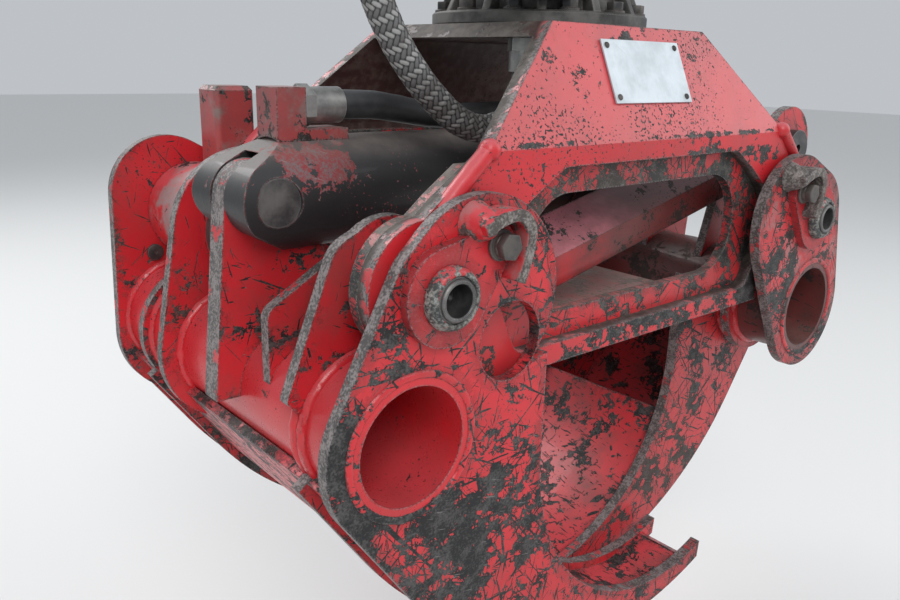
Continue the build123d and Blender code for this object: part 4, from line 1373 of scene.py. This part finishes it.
@dataclass
class Link:
    """The bar that ties the arms together: a folded channel whose top leans, with an eye at each end."""

    paints: Paintbox
    left: tuple[float, float] = (-184.0, -42.0)
    right: tuple[float, float] = (291.0, 63.0)
    near: float = -94.0
    far: float = -62.0
    eye: float = 27.0
    hole: float = 15.05
    wall: float = 7.0

    def disc(self, centre: tuple[float, float], radius: float, over: float) -> bpy.types.Object:
        """A round block across the link, for an eye or its hole.

        Args:
            centre: X and Z of its axis.
            radius: Its radius.
            over: How far it passes the link's faces.

        Returns:
            The block.
        """
        width = self.far - self.near + 2 * over
        block = Bench.turned([(0.0, 0.0), (radius, 0.0), (radius, width), (0.0, width)], 64)
        return Bench.place(block, at(centre[0], self.far + over, centre[1]), Facing.NEAR)

    def build(self) -> None:
        """Make the link and let it stand for its node."""
        run = Vector((self.right[0] - self.left[0], 0.0, self.right[1] - self.left[1]))
        up = Vector((-run.z, 0.0, run.x)).normalized()
        section = [
            (self.far, -self.eye), (self.near, -self.eye), (self.near, 0.0), (self.far, self.eye),
            (self.far, self.eye - 9.2), (self.near + self.wall, -3.4), (self.near + self.wall, self.wall - self.eye),
            (self.far, self.wall - self.eye),
        ]
        mesh = bpy.data.meshes.new("link")
        points = [at(self.left[0], y, self.left[1]) + up * n * MM for y, n in section]
        mesh.from_pydata(points, [], [list(range(len(points)))])
        beam = Bench.added("link", mesh)
        bpy.ops.object.mode_set(mode="EDIT")
        bpy.ops.mesh.select_all(action="SELECT")
        bpy.ops.mesh.extrude_region_move(TRANSFORM_OT_translate={"value": tuple(run * MM)})
        bpy.ops.mesh.select_all(action="SELECT")
        bpy.ops.mesh.normals_make_consistent(inside=False)
        bpy.ops.object.mode_set(mode="OBJECT")
        for radius, over, work in ((self.eye, 0.0, "UNION"), (self.hole, 5.0, "DIFFERENCE")):
            for centre in (self.left, self.right):
                tool = self.disc(centre, radius, over)
                # Not the exact solver, whose result for this link changes from run to run.
                Bench.modify(beam, "BOOLEAN", object=tool, operation=work, solver="MANIFOLD")
                bpy.data.objects.remove(tool)
        Bench.modify(beam, "BEVEL", width=1.4 * MM, segments=2, limit_method="ANGLE", angle_limit=math.radians(30))
        Bench.done(beam, "tie_link", Body.LINK, Slot.RED_PAINT, self.paints.get(Finish.RED_LINK), 30.0)
        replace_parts(beam, "arm_link")


@dataclass
class RotorFoot:
    """The rotor's casting on the frame, with a thin bolting flange, ribs and its port block."""

    paints: Paintbox
    low: float = 176.0
    flange: float = 98.0
    thick: float = 11.0
    body: float = 76.0
    top: float = 236.0
    neck: float = 62.0
    neck_top: float = 290.0
    bolts: int = 12
    circle: float = 88.0
    ribs: int = 12
    rib: tuple[float, float, float] = (30.0, 8.0, 26.0)
    rib_slope: float = 12.0
    rib_spot: tuple[float, float, float] = (79.0, 0.0, 12.0)
    block: tuple[float, float, float] = (106.0, 30.0, 26.0)
    block_spot: tuple[float, float, float] = (-83.0, -72.0, 213.0)

    def build(self) -> None:
        """Make the casting and its bolts."""
        step = self.low + self.thick
        casting = Bench.turned([
            (0.0, self.low), (self.flange - 1.0, self.low), (self.flange, self.low + 1.0), (self.flange, step - 1.5),
            (self.flange - 1.5, step), (self.body + 3.0, step), (self.body + 0.5, step + 2.5), (self.body - 2.0, 212.0),
            (70.0, 220.0), (70.0, self.top - 2.0), (68.0, self.top), (self.neck, self.top),
            (self.neck, self.neck_top), (0.0, self.neck_top),
        ], 96)
        Bench.place(casting, at(0.0, 0.0, 0.0), Facing.UP)
        parts = [casting]
        for k in range(self.ribs):
            rib = Bench.box(self.rib, Vector())
            for vertex in rib.data.vertices:
                if vertex.co.x > 0.0 and vertex.co.z > 0.0:
                    vertex.co.x -= self.rib_slope * MM
            rib.location = Vector(self.rib_spot) * MM
            bpy.ops.object.transform_apply(location=True, rotation=True, scale=True)
            Bench.modify(rib, "BEVEL", width=1.6 * MM, segments=2)
            parts.append(Bench.place(rib, at(0.0, 0.0, step - 1.0), Facing.UP, math.tau * (k + 0.5) / self.ribs))
        block = Bench.box(self.block, at(*self.block_spot))
        Bench.modify(block, "BEVEL", width=2.0 * MM, segments=2)
        parts.append(block)
        whole = Bench.join(parts)
        Bench.done(whole, "rotor_foot", Body.FRAME, Slot.DARK_CAST, self.paints.get(Finish.CAST))
        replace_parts(whole, "rotor")
        spots = around(self.bolts, self.circle, step)
        hardware = SmallHardware(self.paints)
        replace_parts(hardware.screws("rotor_screws", Body.FRAME, spots, Facing.UP, 13.0, 7.0, 8.6), "rotor_bolts")


@dataclass
class HoseLine:
    """One hose: a tube along a smooth line, ring by ring, with its sleeve's strands if it has one."""

    name: str
    node: str
    body: Body
    route: list[tuple[float, float, float]]
    radius: float
    finish: bpy.types.Material
    strands: int = 0
    around: int = 40
    step: float = 2.0

    def line(self) -> list[Vector]:
        """The smooth line through the route, with evenly spaced points."""
        curve = Bench.thread(self.name + "_line", [at(*spot) for spot in self.route], 24)
        mesh = bpy.data.meshes.new_from_object(bpy.data.objects.new(curve.name, curve))
        raw = [vertex.co.copy() for vertex in mesh.vertices]
        along = [0.0]
        for before, after in zip(raw, raw[1:]):
            along.append(along[-1] + (after - before).length)
        count = max(2, round(along[-1] / (self.step * MM)))
        points, index = [], 0
        for k in range(count + 1):
            reach = along[-1] * k / count
            while index < len(raw) - 2 and along[index + 1] < reach:
                index += 1
            share = (reach - along[index]) / max(along[index + 1] - along[index], 1e-9)
            points.append(raw[index].lerp(raw[index + 1], min(share, 1.0)))
        return points

    def weave(self, turn: float, reach: float) -> tuple[float, float]:
        """Height of the sleeve and the way of the strand on top, for strands over two and under two.

        Args:
            turn: Angle round the hose, in radians.
            reach: Length along it, in metres.

        Returns:
            The height from 0 to 1, and 0 or 1 for the strand's way.
        """
        winding = self.strands * reach / (self.radius * MM)
        u = (self.strands * turn + winding) / math.pi / 2.0
        v = (self.strands * turn - winding) / math.pi / 2.0
        i, j = math.floor(u), math.floor(v)
        if (j - i) % 4 in (0, 1):
            ridge, float_at = math.sin(math.pi * (u - i)), ((v - i) % 4) / 2.0
            way = 0.0
        else:
            ridge, float_at = math.sin(math.pi * (v - j)), (((j - u) % 4) - 1.0) / 2.0
            way = 1.0
        return ridge ** 0.7 * max(math.sin(math.pi * min(max(float_at, 0.0), 1.0)), 0.0) ** 0.4, way

    def build(self) -> None:
        points = self.line()
        shape = bmesh.new()
        heights, ways, rings = [], [], []
        ahead = (points[1] - points[0]).normalized()
        side = ahead.cross(Vector((0.0, 1.0, 0.0)) if abs(ahead.y) < 0.9 else Vector((1.0, 0.0, 0.0))).normalized()
        length = sum((b - a).length for a, b in zip(points, points[1:]))
        reach = 0.0
        for k, point in enumerate(points):
            if k:
                reach += (point - points[k - 1]).length
            ahead = (points[min(k + 1, len(points) - 1)] - points[max(k - 1, 0)]).normalized()
            side = (side - ahead * side.dot(ahead)).normalized()
            other = ahead.cross(side)
            ring = []
            for n in range(self.around):
                turn = math.tau * n / self.around
                height, way = self.weave(turn, reach) if self.strands else (0.5, 0.0)
                out = self.radius + (height - 0.75) * 0.6 * bool(self.strands)
                out += 0.35 * noise.noise(point * 60.0 + side * math.cos(turn) + other * math.sin(turn))
                ring.append(shape.verts.new(point + (side * math.cos(turn) + other * math.sin(turn)) * out * MM))
                heights.append(height)
                ways.append(way)
            rings.append(ring)
        for first, second in zip(rings, rings[1:]):
            for n in range(self.around):
                m = (n + 1) % self.around
                shape.faces.new((first[n], first[m], second[m], second[n]))
        shape.faces.new(list(reversed(rings[0])))
        shape.faces.new(rings[-1])
        mesh = bpy.data.meshes.new(self.name)
        shape.to_mesh(mesh)
        shape.free()
        mesh.attributes.new("height", "FLOAT", "POINT").data.foreach_set("value", heights)
        mesh.attributes.new("way", "FLOAT", "POINT").data.foreach_set("value", ways)
        hose = Bench.done(Bench.added(self.name, mesh), self.name, self.body, Slot.HOSE_RUBBER, self.finish, 60.0)
        2 * self.radius * MM
        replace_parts(hose, self.node)


@dataclass
class Hoses:
    """The rotor's braided hose and the barrel's black one, along the drawing's routes."""

    paints: Paintbox
    rotor_y: float = -72.0
    radius: float = 11.0

    def build(self) -> None:
        """Make both hoses."""
        rotor_line = [
            (-121, 262), (-121, 286), (-129, 311), (-150, 329), (-178, 336), (-206, 330), (-228, 312),
            (-242, 287), (-248, 259), (-249, 230), (-243, 202), (-231, 177), (-216, 153), (-198, 132),
            (-177, 113), (-154, 98), (-129, 93), (-105, 100), (-88, 117), (-88, 138),
        ]
        barrel_line = [
            (-226, -8, 111), (-198, -8, 111), (-169, -2, 107.5), (-141, 7, 103), (-112, 14, 99.5),
            (-81, 18, 98), (-50, 19, 98.5), (-20, 18.5, 99), (8, 18.5, 99),
        ]
        HoseLine(
            "braided_hose", "rotor_hose", Body.FRAME, [(x, self.rotor_y, z) for x, z in rotor_line], self.radius,
            self.paints.get(Finish.BRAID), strands=13, around=130, step=0.75,
        ).build()
        HoseLine(
            "black_hose", "barrel_hose", Body.BARREL, barrel_line, self.radius, self.paints.get(Finish.RUBBER),
        ).build()


@dataclass
class Studio:
    """Floor, lamps, world and the camera at the photograph's viewing angle."""

    floor_z: float = -1.12
    eye: tuple[float, float, float] = (-571.6, -543.3, 144.0)
    yaw: float = 40.99
    pitch: float = 16.51
    roll: float = -1.43
    focal_px: float = 801.5
    picture_px: tuple[int, int] = (900, 600)
    lamps: tuple[tuple[str, tuple[float, float, float], float, float], ...] = (
        ("key", (-1.6, -2.4, 1.6), 1.8, 62.0),
        ("fill", (2.6, -1.6, 0.6), 2.2, 26.0),
        ("rim", (-0.8, 2.6, 1.8), 1.8, 60.0),
    )
    sky: RGB = (0.86, 0.9, 0.95)
    sky_strength: float = 0.6

    def floor(self) -> None:
        """Lay the pale floor."""
        Bench.clear()
        bpy.ops.mesh.primitive_plane_add(size=30.0, location=(0.0, 0.0, self.floor_z))
        plane = bpy.context.object
        plane.name = "studio_floor"
        plane.data.materials.append(Ground().build())

    def lamp(self, name: str, place: tuple[float, float, float], size: float, power: float) -> None:
        """Hang one soft lamp that looks at the grapple.

        Args:
            name: The lamp's name.
            place: Where it hangs, in metres.
            size: Its side.
            power: Its power in watts.
        """
        data = bpy.data.lights.new(name, "AREA")
        data.energy, data.size = power, size
        lamp = bpy.data.objects.new(name, data)
        lamp.location = place
        aim = Vector((0.0, 0.0, -0.5)) - Vector(place)
        lamp.rotation_euler = aim.to_track_quat("-Z", "Y").to_euler()
        bpy.context.collection.objects.link(lamp)

    def camera(self) -> None:
        """Set the camera where the photograph was taken from."""
        yaw, pitch, roll = (math.radians(v) for v in (self.yaw, self.pitch, self.roll))
        level = Vector((math.sin(yaw), math.cos(yaw), 0.0))
        right = Vector((math.cos(yaw), -math.sin(yaw), 0.0))
        down = Vector((0.0, 0.0, -1.0))
        ahead = math.cos(pitch) * level + math.sin(pitch) * down
        below = math.cos(pitch) * down - math.sin(pitch) * level
        right, below = (
            math.cos(roll) * right + math.sin(roll) * below,
            math.cos(roll) * below - math.sin(roll) * right,
        )
        data = bpy.data.cameras.new("camera")
        data.sensor_width = 36.0
        data.lens = self.focal_px / self.picture_px[0] * data.sensor_width
        data.clip_start = 0.02
        camera = bpy.data.objects.new("camera", data)
        turn = Matrix((right, -below, -ahead)).transposed().to_4x4()
        x, y, z = self.eye
        camera.matrix_world = Matrix.Translation((x * MM, y * MM, (z - HANG) * MM)) @ turn
        bpy.context.collection.objects.link(camera)
        bpy.context.scene.camera = camera

    def build(self) -> None:
        """Set up everything round the grapple."""
        self.floor()
        for lamp in self.lamps:
            self.lamp(*lamp)
        self.camera()
        world = bpy.data.worlds.new("studio")
        world.use_nodes = True
        background = world.node_tree.nodes["Background"]
        background.inputs[0].default_value = (*self.sky, 1.0)
        background.inputs[1].default_value = self.sky_strength
        bpy.context.scene.world = world
        bpy.context.scene.view_settings.view_transform = "Standard"


def main() -> None:
    """Build the scene in order."""
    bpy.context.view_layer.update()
    paints = Paintbox()
    CarriedNodes(paints).build()
    Welds(paints).build()
    for side, body in (("left", Body.LEFT_ARM), ("right", Body.RIGHT_ARM)):
        PinHardware(paints, side, body).build()
    Nameplate(paints).build()
    SmallHardware(paints).build()
    Link(paints).build()
    RotorFoot(paints).build()
    Hoses(paints).build()
    Studio().build()


if __name__ == "__main__":
    main()
